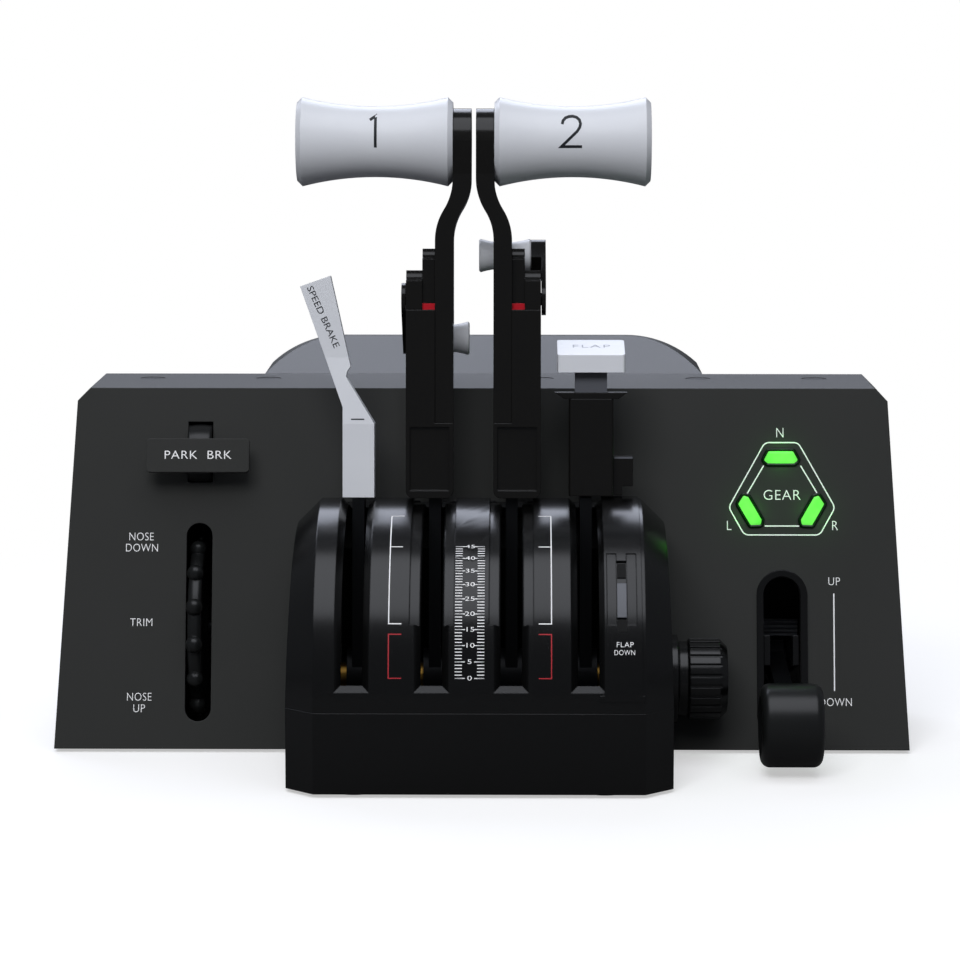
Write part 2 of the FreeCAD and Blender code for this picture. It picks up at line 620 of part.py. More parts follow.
frames = newBody("side_frames", y=pivotY, z=pivotZ, many=True)
frameFoot = f"(footHeight + plateThick - {pivotZ})"
tieReaches = ("-tieReach", "0.45 * tieReach")
for start in ("-frameX - frameThick", "frameX"):
    plate = newSketch(frames, "YZ", start)
    outline(plate, [("-frameReach", frameFoot), ("frameReach / 3", frameFoot), ("hubRadius", "0"),
                    ("-hubRadius", "0")],
            {2: (None, False)})
    ring(plate, "0", "0", "shaftRadius")
    for reach in tieReaches:
        ring(plate, reach, f"{frameFoot} + tieHeight", "tieRadius / 2")
    pad(frames, plate, "frameThick")

ties = newBody("frame_ties", x="-frameX", y=pivotY, z=pivotZ, many=True)
tieSketch = newSketch(ties, "YZ")
for reach in tieReaches:
    ring(tieSketch, reach, f"{frameFoot} + tieHeight", "tieRadius")
pad(ties, tieSketch, "2 * frameX")

spacers = newBody("shaft_spacers", y=pivotY, z=pivotZ, many=True)
spacerEnds = ["-frameX"] + slotPlaces + ["frameX"]
for number in range(len(spacerEnds) - 1):
    start = spacerEnds[number]
    end = spacerEnds[number + 1]
    startGap = "fitGap / 2" if number == 0 else "hubWidth / 2 + fitGap / 2"
    endGap = "fitGap / 2" if number == len(spacerEnds) - 2 else "hubWidth / 2 + fitGap / 2"
    tube = newSketch(spacers, "YZ", f"{start} + {startGap}")
    ring(tube, "0", "0", "spacerRadius")
    ring(tube, "0", "0", "shaftRadius + boreGap")
    pad(spacers, tube, f"({end}) - ({start}) - ({startGap}) - ({endGap})")

# ---------------------------------------------------------------- boards

sensorBoard = newBody("sensor_board", y=pivotY, z=plateTop)
pad(sensorBoard, box(newSketch(sensorBoard, "XY", "standoff"), "speedBrakeX - 8", "-8", "flapX + 8", "4.5"),
    "boardThick")
sensorTop = f"({pivotZ} - hubRadius - {plateTop} - standoff - boardThick - 1.5)"
sensors = newSketch(sensorBoard, "XY", "standoff + boardThick")
legs = newSketch(sensorBoard, "XY")
for x in slotPlaces:
    box(sensors, f"{x} - 3", "-4", f"{x} + 3", "4")
    ring(legs, x, "0", "2.5")
pad(sensorBoard, sensors, sensorTop)
pad(sensorBoard, legs, "standoff")

mainBoard = newBody("main_board", y=f"({deckFrontY} + {deckRearY}) / 2 + footInset", z=plateTop)
pad(mainBoard, box(newSketch(mainBoard, "XY", "standoff"), "-mainBoardWidth / 2", "-mainBoardDepth / 2",
                   "mainBoardWidth / 2", "mainBoardDepth / 2"), "boardThick")
chips = newSketch(mainBoard, "XY", "standoff + boardThick")
for x in ("-chipPitch", "0", "chipPitch"):
    box(chips, f"{x} - chipSize / 2", "-chipSize / 2", f"{x} + chipSize / 2", "chipSize / 2")
pad(mainBoard, chips, "2")
posts = newSketch(mainBoard, "XY")
for x in ("-", ""):
    for y in ("-", ""):
        ring(posts, f"{x}(mainBoardWidth / 2 - 2 * postRadius)", f"{y}(mainBoardDepth / 2 - 2 * postRadius)",
             "postRadius")
pad(mainBoard, posts, "standoff")

indicator = panelBody("indicator_board", rightX, lampHeight, "-wall - standoff - boardThick")
pad(indicator, ring(newSketch(indicator, "XY"), "0", "0", "lampReach + boardRim"), "boardThick")
diodes = newSketch(indicator, "XY", "boardThick")
pegs = newSketch(indicator, "XY", "boardThick")
for turn in lampTurns.values():
    ring(diodes, f"-lampReach * sin({turn})", f"lampReach * cos({turn})", "2")
    ring(pegs, f"(lampReach + pegReach) * sin({turn})", f"-(lampReach + pegReach) * cos({turn})", "2")
pad(indicator, diodes, "0.75 * standoff")
pad(indicator, pegs, "standoff")

# ---------------------------------------------------------------- gear lights

bezels = panelBody("lamp_bezels", "0", "0", many=True)
rims = newSketch(bezels, "XY")
for turn in lampTurns.values():
    outline(rims, lampCorners(turn, "lampRim"))
    outline(rims, lampCorners(turn, "fitGap / 2"))
pad(bezels, rims, "lampProud")
for name, turn in lampTurns.items():
    lens = panelBody(f"gear_lens_{name}", "0", "0", "-wall")
    pad(lens, outline(newSketch(lens, "XY"), lampCorners(turn, "0")), "wall + lampProud")

# ---------------------------------------------------------------- gear lever

gearBezel = panelBody("gear_bezel", rightX, "0")
oval = newSketch(gearBezel, "XY")
racetrack(oval, "0", "gearSlotLow", "gearSlotHigh", "(gearSlotRadius + bezelRim)")
racetrack(oval, "0", "gearSlotLow", "gearSlotHigh", "(gearSlotRadius)")
pad(gearBezel, oval, "bezelThick")

earGap = "(gearArmThick / 2 + 1)"
ears = panelBody("gear_bracket", rightX, "gearHinge", "-wall", many=True)
for side in ("", "-"):
    ear = newSketch(ears, "YZ", f"{side}({earGap} + earThick / 2)")
    outline(ear, block("-earHalf", "wall - gearDepth", "earHalf", "0"), {0: (None, False)})
    ring(ear, "0", "wall - gearDepth", "axleRadius")
    pad(ears, ear, "earThick", both=True)

gearPin = panelBody("gear_hinge_pin", rightX, "gearHinge", "-gearDepth")
pad(gearPin, ring(newSketch(gearPin, "YZ"), "0", "0", "axleRadius"), f"2 * ({earGap} + earThick + 1)",
    both=True)

hingeX, hingeY, hingeZ = onPanel(rightX, "gearHinge", "-gearDepth")
gearTilt = "gearDroop - leanAngle"
gearArm = newBody("gear_arm", hingeX, hingeY, hingeZ, gearTilt)
armEnd = "(-gearReach + gearWheelRadius - 3)"
pad(gearArm, box(newSketch(gearArm, "YZ"), armEnd, "-gearArmHeight / 2", "0", "gearArmHeight / 2"),
    "gearArmThick", both=True)
pad(gearArm, ring(newSketch(gearArm, "YZ"), "0", "0", "gearHubRadius"), "gearArmThick", both=True)
pocket(gearArm, ring(newSketch(gearArm, "YZ"), "0", "0", "axleRadius + boreGap"), "2 * gearArmThick",
       both=True)

wheelY = f"{hingeY} - gearReach * cos({gearTilt})"
wheelZ = f"{hingeZ} - gearReach * sin({gearTilt})"
gearWheel = newBody("gear_wheel", rightX, wheelY, wheelZ, gearTilt)
tread = "(gearWheelWidth / 2)"
side = "(gearWheelRadius - gearWheelBevel)"
slope = "(0.3 * gearWheelBevel)"
spin(gearWheel, "Revolution", outline(newSketch(gearWheel, "XY"), [
    (f"-{tread}", "0"), (f"-{tread}", side), (f"-{tread} + {slope}", f"gearWheelRadius - {slope}"),
    (f"-{tread} + gearWheelBevel", "gearWheelRadius"), (f"{tread} - gearWheelBevel", "gearWheelRadius"),
    (f"{tread} - {slope}", f"gearWheelRadius - {slope}"), (tread, side), (tread, "0")]))
socketCut = newSketch(gearWheel, "XZ", "-gearWheelRadius - 1")
box(socketCut, "-gearArmThick / 2", "-gearArmHeight / 2", "gearArmThick / 2", "gearArmHeight / 2")
pocket(gearWheel, socketCut, "4", backwards=True)

# ---------------------------------------------------------------- trim wheel

trimDepth = "(trimRadius + trimNubRadius - trimProud)"
trimWheel = panelBody("trim_wheel", leftX, "trimHeight", f"-{trimDepth}")
pad(trimWheel, ring(newSketch(trimWheel, "YZ"), "0", "0", "trimRadius"), "trimWidth", both=True)
nubs = newSketch(trimWheel, "YZ")
for number in range(int(value("trimNubs"))):
    turn = f"(360 * {number} / trimNubs)"
    ring(nubs, f"trimRadius * cos({turn})", f"trimRadius * sin({turn})", "trimNubRadius")
pad(trimWheel, nubs, "1.25 * trimWidth", both=True)
pocket(trimWheel, ring(newSketch(trimWheel, "YZ"), "0", "0", "axleRadius + boreGap"), "3 * trimWidth",
       both=True)

trimEars = panelBody("trim_bracket", leftX, "trimHeight", "-wall", many=True)
for side in ("", "-"):
    ear = newSketch(trimEars, "YZ", f"{side}(trimSlotWidth / 2 + earThick)")
    outline(ear, block("-earHalf", f"wall - {trimDepth}", "earHalf", "0"), {0: (None, False)})
    ring(ear, "0", f"wall - {trimDepth}", "axleRadius")
    pad(trimEars, ear, "earThick", both=True)

trimAxle = panelBody("trim_axle", leftX, "trimHeight", f"-{trimDepth}")
pad(trimAxle, ring(newSketch(trimAxle, "YZ"), "0", "0", "axleRadius"), "trimSlotWidth + 4 * earThick",
    both=True)

# ---------------------------------------------------------------- park brake

drum = panelBody("park_brake_drum", leftX, parkHeight, "-parkDepth")
pad(drum, ring(newSketch(drum, "YZ"), "0", "0", "parkDrumRadius"), "parkDrumWidth", both=True)
stem = newSketch(drum, "YZ")
stemHigh = "(parkDepth + parkProud)"
outline(stem, [("-parkStem / 2", "0"), ("parkStem / 2", "0"), ("parkStem / 2 - parkSag", stemHigh),
               ("-parkStem / 2 - parkSag", stemHigh)])
pad(drum, stem, "parkDrumWidth", both=True)
pocket(drum, ring(newSketch(drum, "YZ"), "0", "0", "parkPinRadius + boreGap"), "3 * parkDrumWidth",
       both=True)

parkPlate = panelBody("park_brake_plate", leftX, f"{parkHeight} - parkSag", "parkProud")
plateX = "(parkPlateWidth / 2)"
plateY = "(parkPlateHeight / 2)"
pad(parkPlate, box(newSketch(parkPlate, "XY"), f"-{plateX}", f"-{plateY}", plateX, plateY), "parkPlateThick")
roundEdges(parkPlate, "Fillet", "parkRound", lambda edge: along(edge, Vector(0, 0, 1)))

parkEars = panelBody("park_brake_bracket", leftX, parkHeight, "-wall", many=True)
parkEarThick = "(0.7 * earThick)"
for side in ("", "-"):
    ear = newSketch(parkEars, "YZ", f"{side}(parkDrumWidth / 2 + fitGap + {parkEarThick} / 2)")
    box(ear, "-earHalf", "wall - parkDepth - earHalf", "earHalf", "0")
    ring(ear, "0", "wall - parkDepth", "parkPinRadius")
    pad(parkEars, ear, parkEarThick, both=True)
parkPin = panelBody("park_brake_pin", leftX, parkHeight, "-parkDepth")
pad(parkPin, ring(newSketch(parkPin, "YZ"), "0", "0", "parkPinRadius"),
    f"parkDrumWidth + 4 * {parkEarThick}", both=True)

# ---------------------------------------------------------------- levers


def leverBlade(name, x):
    """Hub on the shaft and the flat neck that comes out through the slot."""
    blade = leverBody(name, x)
    pad(blade, ring(newSketch(blade, "YZ"), "0", "0", "hubRadius"), "hubWidth", both=True)
    neck = newSketch(blade, "YZ")
    outline(neck, [("-hubRadius + 1", "0"), ("hubRadius - 1", "0"), ("neckDepth / 2", "leverFoot"),
                   ("-neckDepth / 2", "leverFoot")])
    pad(blade, neck, "neckThick", both=True)
    pocket(blade, ring(newSketch(blade, "YZ"), "0", "0", "shaftRadius + boreGap"), "3 * hubWidth", both=True)
    return blade


def spool(body, left, right, end, waist, bevel):
    """Handle turned about X: bevelled ends and a hollowed waist."""
    half = f"(({right}) - ({left}) - 2 * {bevel}) / 2"
    sag = f"({end} - {waist})"
    radius = f"((({half})^2 + {sag}^2) / (2 * {sag}))"
    spin(body, "Revolution", outline(newSketch(body, "XY"), [
        (left, "0"), (left, f"{end} - {bevel}"), (f"({left}) + {bevel}", end),
        (f"({right}) - {bevel}", end), (right, f"{end} - {bevel}"), (right, "0")],
        {2: (radius, False)}))


def latchSide(body, x, front, foot, top):
    """Outline of a latch piece seen from the side: a rounded top that steps down to the pilot."""
    sketch = newSketch(body, "YZ", x)
    return outline(sketch, [(front, foot), ("armBack", foot), ("armBack", top),
                            (f"{front} + latchRound", top), (front, f"{top} - latchRound")],
                   {3: ("latchRound", True)})


def throttle(number, x, side, reverserTurn):
    """One throttle lever with its reverse lever; side is 1 when its outer side is to the right."""

    def out(text):
        return f"{side} * ({text})"

    leverBlade(f"throttle_blade_{number}", x)

    body = leverBody(f"throttle_body_{number}", x)
    front = newSketch(body, "XZ", "bodyFront")
    cornerZ = "(leverFoot + bodyCorner)"
    outline(front, [(out("-bodyInner"), cornerZ), (out("-bodyInner + bodyCorner"), "leverFoot"),
                    (out("bodyOuter - bodyCorner"), "leverFoot"), (out("bodyOuter"), cornerZ),
                    (out("bodyOuter"), "bodyTop"), (out("-bodyInner"), "bodyTop")],
            {0: ("bodyCorner", side < 0), 2: ("bodyCorner", side < 0)})
    pad(body, front, "bodyFront + bodyBack", backwards=True)
    channel = newSketch(body, "XZ", "bodyFront")
    box(channel, out("-bodyInner - 1"), "armBottom", out("-armOffset + armThick / 2"), "bodyTop + 1")
    pocket(body, channel, "bodyFront + armBack")
    hollow = newSketch(body, "XZ", "bodyFront")
    box(hollow, out("-bodyInner + hollowDepth"), "leverFoot + bodyCorner", out("bodyOuter - hollowDepth"),
        "armBottom - hollowDepth")
    pocket(body, hollow, "hollowDepth")

    arm = leverBody(f"throttle_arm_{number}", x)
    low = "(-armOffset)"
    high = "(-armTopOffset)"
    half = "(armThick / 2)"
    bend = newSketch(arm, "XZ", "armEyeRadius")
    eyeTop = "(knobHeight + armEyeRadius)"
    swing = "((armTopOffset - armOffset) / 2)"
    rise = "((bendEnd - bendStart) / 2)"
    bendRadius = f"(({swing}^2 + {rise}^2) / (2 * {swing}))"
    middleZ = "((bendStart + bendEnd) / 2)"
    middleX = "(-(armOffset + armTopOffset) / 2)"
    outline(bend, [(out(f"{low} - {half}"), "armBottom"), (out(f"{low} + {half}"), "armBottom"),
                   (out(f"{low} + {half}"), "bendStart"), (out(f"{middleX} + {half}"), middleZ),
                   (out(f"{high} + {half}"), "bendEnd"), (out(f"{high} + {half}"), eyeTop),
                   (out(f"{high} - {half}"), eyeTop), (out(f"{high} - {half}"), "bendEnd"),
                   (out(f"{middleX} - {half}"), middleZ), (out(f"{low} - {half}"), "bendStart")],
            {2: (bendRadius, side < 0), 3: (bendRadius, side > 0),
             7: (bendRadius, side < 0), 8: (bendRadius, side > 0)})
    pad(arm, bend, "2 * armEyeRadius", backwards=True)
    flank = newSketch(arm, "YZ")
    box(flank, "-armEyeRadius - 1", "armBottom - 1", "armEyeRadius + 1", f"{eyeTop} + 1")
    outline(flank, [("-armFront", "armBottom"), ("armBack", "armBottom"),
                    ("armBack", "knobHeight - 2 * armEyeRadius"), ("armEyeRadius", "knobHeight"),
                    ("-armEyeRadius", "knobHeight"), ("-armFront", "knobHeight - armEyeRadius")],
            {3: (None, False)})
    pocket(arm, flank, "6 * armTopOffset", both=True)

    knob = leverBody(f"throttle_knob_{number}", x, "knobHeight")
    arms = out("-armTopOffset + armThick / 2")
    tip = out("-armTopOffset + armThick / 2 + knobLength")
    spool(knob, min(arms, tip, key=value), max(arms, tip, key=value), "knobRadius", "knobWaist", "knobBevel")

    latch = leverBody(f"latch_block_{number}", x)
    latchIn = "(-armOffset + armThick / 2)"
    latchOut = f"({latchIn} + latchWidth)"
    inner = latchSide(latch, out(latchOut), "-latchDepth", "bodyTop + detentThick", "latchTop")
    pad(latch, inner, "latchWidth", backwards=side > 0)
    hook = latchSide(latch, out(latchOut), "-latchDepth - detentThick", "bodyTop", "hookTop")
    pad(latch, hook, f"bodyOuter - {latchOut}", backwards=side < 0)
    stub = ring(newSketch(latch, "YZ", out("bodyOuter")), "0", "reverserPivot", "reverserPin")
    pad(latch, stub, "fitGap + reverserPlate", backwards=side < 0)

    detent = leverBody(f"detent_pad_{number}", x)
    pad(detent, box(newSketch(detent, "YZ", out(latchIn)), "-latchDepth - 1", "bodyTop", "armBack",
                    "bodyTop + detentThick"), "latchWidth", backwards=side < 0)

    bracket = leverBody(f"reverser_bracket_{number}", x, "reverserPivot", turn=reverserTurn)
    plateStart = "(bodyOuter + fitGap)"
    plate = newSketch(bracket, "YZ", out(plateStart))
    outline(plate, block("0", "-reverserRadius", "reverserArm", "reverserRadius"),
            {1: (None, False), 3: (None, False)})
    ring(plate, "0", "0", "reverserPin + fitGap / 2")
    pad(bracket, plate, "reverserPlate", backwards=side < 0)
    cheek = newSketch(bracket, "YZ", out(plateStart))
    outline(cheek, block("reverserArm - reverserCheek", "-reverserRadius", "reverserArm", "reverserRadius"),
            {1: (None, False)})
    pad(bracket, cheek, f"{plateStart} - bodyInner - fitGap", backwards=side > 0)

    angle = f"({reverserTurn} - leverLean)"
    grip = newBody(f"reverser_knob_{number}", x,
                   f"{pivotY} + reverserPivot * sin(leverLean) + reverserArm * cos({angle})",
                   f"{pivotZ} + reverserPivot * cos(leverLean) + reverserArm * sin({angle})")
    root = out("bodyInner + fitGap")
    tip = out("bodyInner + fitGap - reverserKnobLength")
    spool(grip, min(root, tip, key=value), max(root, tip, key=value), "reverserKnobRadius",
          "reverserKnobWaist", "reverserKnobBevel")


throttle(1, "throttleOneX", -1, "-reverserLowered")
throttle(2, "throttleTwoX", 1, "reverserRaised")

leverBlade("speed_brake_blade", "speedBrakeX")
brake = leverBody("speed_brake_handle", "speedBrakeX")
paddle = newSketch(brake, "XZ", "brakeDepth / 2")
outline(paddle, [("-brakeHalf", "leverFoot"), ("brakeHalf", "leverFoot"), ("brakeHalf", "brakeBlockTop"),
                 ("-4.9", "brakeTop - 39.6"), ("-4.6", "brakeTop - 37.6"), ("-3.2", "brakeTop - 35.4"),
                 ("-4", "brakeTop - 32"), ("-8.4", "brakeTop - 12"), ("-11.1", "brakeTop"),
                 ("-23", "brakeTop - 4.2"), ("-brakeHalf", "brakeBlockTop + 6.4")])
pad(brake, paddle, "brakeDepth", backwards=True)
taper = newSketch(brake, "YZ")
for side in ("", "-"):
    outline(taper, [(f"{side}(brakeDepth / 2)", "brakeBlockTop"),
                    (f"{side}(brakeDepth / 4)", "brakeTop - 32"),
                    (f"{side}(brakeDepth / 4)", "brakeTop + 1"),
                    (f"{side}brakeDepth", "brakeTop + 1"), (f"{side}brakeDepth", "brakeBlockTop")])
pocket(brake, taper, "2 * brakeTop", both=True)

leverBlade("flap_blade", "flapX")
flapBody = leverBody("flap_body", "flapX")
flapFoot = "(leverFoot + gateThick)"
flapFront = newSketch(flapBody, "XZ", "flapDepth / 2")
box(flapFront, "-flapInner", flapFoot, "flapOuter", "flapBodyTop")
pad(flapBody, flapFront, "flapDepth", backwards=True)
stemX = "((flapOuter - flapInner) / 2)"
stemHole = block(f"{stemX} - stemWidth / 2 - fitGap", "-stemDepth / 2 - fitGap",
                 f"{stemX} + stemWidth / 2 + fitGap", "stemDepth / 2 + fitGap")
pocket(flapBody, outline(newSketch(flapBody, "XY", "flapBodyTop"), stemHole), "flapBodyTop - stemBottom + 1")
roundEdges(flapBody, "Fillet", "flapRound",
           lambda edge: along(edge, Vector(0, 0, 1)) and edge.Length > value("flapBodyTop - leverFoot") - 2)

collar = leverBody("flap_collar", "flapX")
rim = newSketch(collar, "XZ", "flapDepth / 2")
outline(rim, [(f"{stemX} - collarHalf + collarSlope", "flapBodyTop"),
              (f"{stemX} + collarHalf - collarSlope", "flapBodyTop"),
              (f"{stemX} + collarHalf", "flapBodyTop + collarThick"),
              (f"{stemX} - collarHalf", "flapBodyTop + collarThick")])
pad(collar, rim, "flapDepth", backwards=True)
pocket(collar, outline(newSketch(collar, "XY", "flapBodyTop + 2 * collarThick"), stemHole),
       "3 * collarThick")

stem = leverBody("flap_stem", "flapX")
pad(stem, box(newSketch(stem, "XY", "stemBottom"), f"{stemX} - stemWidth / 2", "-stemDepth / 2",
              f"{stemX} + stemWidth / 2", "stemDepth / 2"), "stemTop - stemBottom")

tee = leverBody("flap_handle", "flapX")
teeSide = newSketch(tee, "YZ", stemX)
outline(teeSide, [("-flapHandleDepth / 2", "stemTop"), ("flapHandleDepth / 2", "stemTop"),
                  ("flapHandleDepth / 2", "stemTop + flapHandleBack"),
                  ("-flapHandleDepth / 2", "stemTop + flapHandleFront")])
pad(tee, teeSide, "flapHandleWidth", both=True)
roundEdges(tee, "Fillet", "flapRound", lambda edge: along(edge, Vector(0, 0, 1)))

latchTab = leverBody("flap_latch", "flapX")
tab = newSketch(latchTab, "XZ")
latchLow = f"({flapFoot} + latchNeck)"
latchHigh = f"({flapFoot} + 2 * latchReach)"
outline(tab, [("flapOuter", flapFoot), ("flapOuter + latchNeck", flapFoot),
              ("flapOuter + latchNeck", latchLow), ("flapOuter + latchReach", latchLow),
              ("flapOuter + latchReach", latchHigh), ("flapOuter", latchHigh)])
pad(latchTab, tab, "latchReach", both=True)

# ---------------------------------------------------------------- friction knob

knob = newBody("friction_knob", "moduleHalf + fitGap", pivotY, pivotZ)
neck = "(frictionRadius - 1.5 * ribDepth)"
spin(knob, "Revolution", outline(newSketch(knob, "XY"), [
    ("0", "shaftRadius + boreGap"), ("0", "frictionFlange"), ("0.4 * frictionNeck", "frictionFlange"),
    ("0.5 * frictionNeck", neck), ("0.9 * frictionNeck", neck), ("frictionNeck", "frictionRadius"),
    ("frictionLength - frictionBevel", "frictionRadius"),
    ("frictionLength", "frictionRadius - frictionBevel"),
    ("frictionLength", "shaftRadius + boreGap")]))
grooves = newSketch(knob, "YZ", "frictionNeck")
deep = "(frictionRadius - ribDepth)"
outside = "(frictionRadius + 1)"
for number in range(int(value("frictionRibs"))):
    turn = f"(360 * {number} / frictionRibs)"
    corners = []
    for across, reach in (("-ribWidth / 4", deep), ("ribWidth / 4", deep),
                          ("ribWidth / 2", outside), ("-ribWidth / 2", outside)):
        corners.append((f"{reach} * cos({turn}) - ({across}) * sin({turn})",
                        f"{reach} * sin({turn}) + ({across}) * cos({turn})"))
    outline(grooves, corners)
pocket(knob, grooves, "frictionLength", backwards=True)

# ---------------------------------------------------------------- checks and export

doc.recompute()
for item in doc.Objects:
    if "Invalid" in item.State or "Error" in item.State:
        raise RuntimeError(f"{item.Name}: {item.State}")

os.makedirs("parts", exist_ok=True)
for body in doc.findObjects("PartDesign::Body"):
    shape = body.Shape
    if shape.isNull() or not shape.isValid() or not shape.Solids:
        raise RuntimeError(f"{body.Label} has no valid shape")
    shape.exportStep(os.path.join("parts", f"{body.Label}.step"))
    print(f"{body.Label}: {len(shape.Solids)} solids, {shape.Volume / 1000:.1f} cm3")
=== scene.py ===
import json
import math
import bmesh
import bpy
from mathutils import Matrix, Vector


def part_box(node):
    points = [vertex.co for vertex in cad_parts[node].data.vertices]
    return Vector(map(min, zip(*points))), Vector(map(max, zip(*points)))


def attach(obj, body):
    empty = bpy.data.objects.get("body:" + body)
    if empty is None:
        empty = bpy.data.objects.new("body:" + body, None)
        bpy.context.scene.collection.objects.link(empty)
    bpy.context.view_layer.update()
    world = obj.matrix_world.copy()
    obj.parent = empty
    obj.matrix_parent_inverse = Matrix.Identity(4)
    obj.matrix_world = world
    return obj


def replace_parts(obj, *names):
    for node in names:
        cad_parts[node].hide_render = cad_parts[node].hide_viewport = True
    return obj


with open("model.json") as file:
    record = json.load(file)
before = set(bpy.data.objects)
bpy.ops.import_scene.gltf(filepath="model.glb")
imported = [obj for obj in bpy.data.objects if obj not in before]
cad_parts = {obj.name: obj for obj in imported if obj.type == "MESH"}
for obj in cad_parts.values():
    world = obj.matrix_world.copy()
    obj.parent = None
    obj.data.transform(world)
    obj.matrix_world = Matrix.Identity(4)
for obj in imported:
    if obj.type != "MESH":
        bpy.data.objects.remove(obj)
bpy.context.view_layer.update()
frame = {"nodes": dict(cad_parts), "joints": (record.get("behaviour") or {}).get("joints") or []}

nodes = frame["nodes"]
scene = bpy.context.scene
scene.view_settings.view_transform = "Standard"
print("frame loaded:", len(nodes), "nodes")

mm = 0.001
inkLift = 0.05  # millimetres that printed ink stands off its surface

# where the unit's own reference lines lie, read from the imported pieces
pivot = Vector(next(j["pos_m"] for j in frame["joints"] if j["name"] == "throttle_1_hinge"))
footY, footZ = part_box("panel_housing")[0][1:]
lean = math.radians(14)
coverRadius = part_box("quadrant_cover")[1][2] - pivot.z
gateRadius = coverRadius + 0.8 * mm


# ---- materials: every pattern is in object space, with its size in millimetres

def hexToLinear(text):
    channels = [int(text[i:i + 2], 16) / 255 for i in (1, 3, 5)]
    linear = [c / 12.92 if c <= 0.04045 else ((c + 0.055) / 1.055) ** 2.4 for c in channels]
    return (*linear, 1.0)


def addNode(tree, kind, settings=None, links=None):
    # settings: node properties or sockets; links: socket -> (node, output)
    node = tree.nodes.new(kind)
    for key, setting in (settings or {}).items():
        if isinstance(key, str) and hasattr(node, key):
            setattr(node, key, setting)
        else:
            node.inputs[key].default_value = setting
    for key, (source, output) in (links or {}).items():
        tree.links.new(source.outputs[output], node.inputs[key])
    return node


def newMaterial(name):
    material = bpy.data.materials.new(name)
    material.use_nodes = True
    material.node_tree.nodes.clear()
    return material, material.node_tree


def moulded(name, look):
    material, tree = newMaterial(name)
    place = addNode(tree, "ShaderNodeTexCoord")
    grain = addNode(tree, "ShaderNodeTexNoise",
                    {"Scale": 1000 / look["grainMm"], "Detail": 2.0, "Roughness": 0.6},
                    {"Vector": (place, "Object")})
    flow = addNode(tree, "ShaderNodeTexNoise",
                   {"Scale": 1000 / look["flowMm"], "Detail": 3.0}, {"Vector": (place, "Object")})
    tone = addNode(tree, "ShaderNodeMix", {"data_type": "RGBA", 6: hexToLinear(look["colour"]),
                                           7: hexToLinear(look["mottle"])}, {0: (flow, "Fac")})
    rounded = addNode(tree, "ShaderNodeBevel", {"samples": 4, "Radius": look["edgeMm"] * mm})
    flat = addNode(tree, "ShaderNodeNewGeometry")
    turn = addNode(tree, "ShaderNodeVectorMath", {"operation": "DOT_PRODUCT"},
                   {0: (rounded, "Normal"), 1: (flat, "Normal")})
    edge = addNode(tree, "ShaderNodeMapRange", {"From Min": 0.99, "From Max": 0.8, "To Min": 0.0,
                                                "To Max": look["wear"]}, {"Value": (turn, "Value")})
    worn = addNode(tree, "ShaderNodeMix", {"data_type": "RGBA", 7: hexToLinear(look["wornColour"])},
                   {0: (edge, "Result"), 6: (tone, 2)})
    sheen = addNode(tree, "ShaderNodeMapRange", {"To Min": look["roughness"] - look["roughSpread"],
                                                 "To Max": look["roughness"] + look["roughSpread"]},
                    {"Value": (grain, "Fac")})
    bump = addNode(tree, "ShaderNodeBump", {"Strength": look["grainDepth"], "Distance": 0.05 * mm},
                   {"Height": (grain, "Fac"), "Normal": (rounded, "Normal")})
    shader = addNode(tree, "ShaderNodeBsdfPrincipled", {"IOR": look["ior"]},
                     {"Base Color": (worn, 2), "Roughness": (sheen, "Result"), "Normal": (bump, "Normal")})
    addNode(tree, "ShaderNodeOutputMaterial", {}, {"Surface": (shader, "BSDF")})
    return material


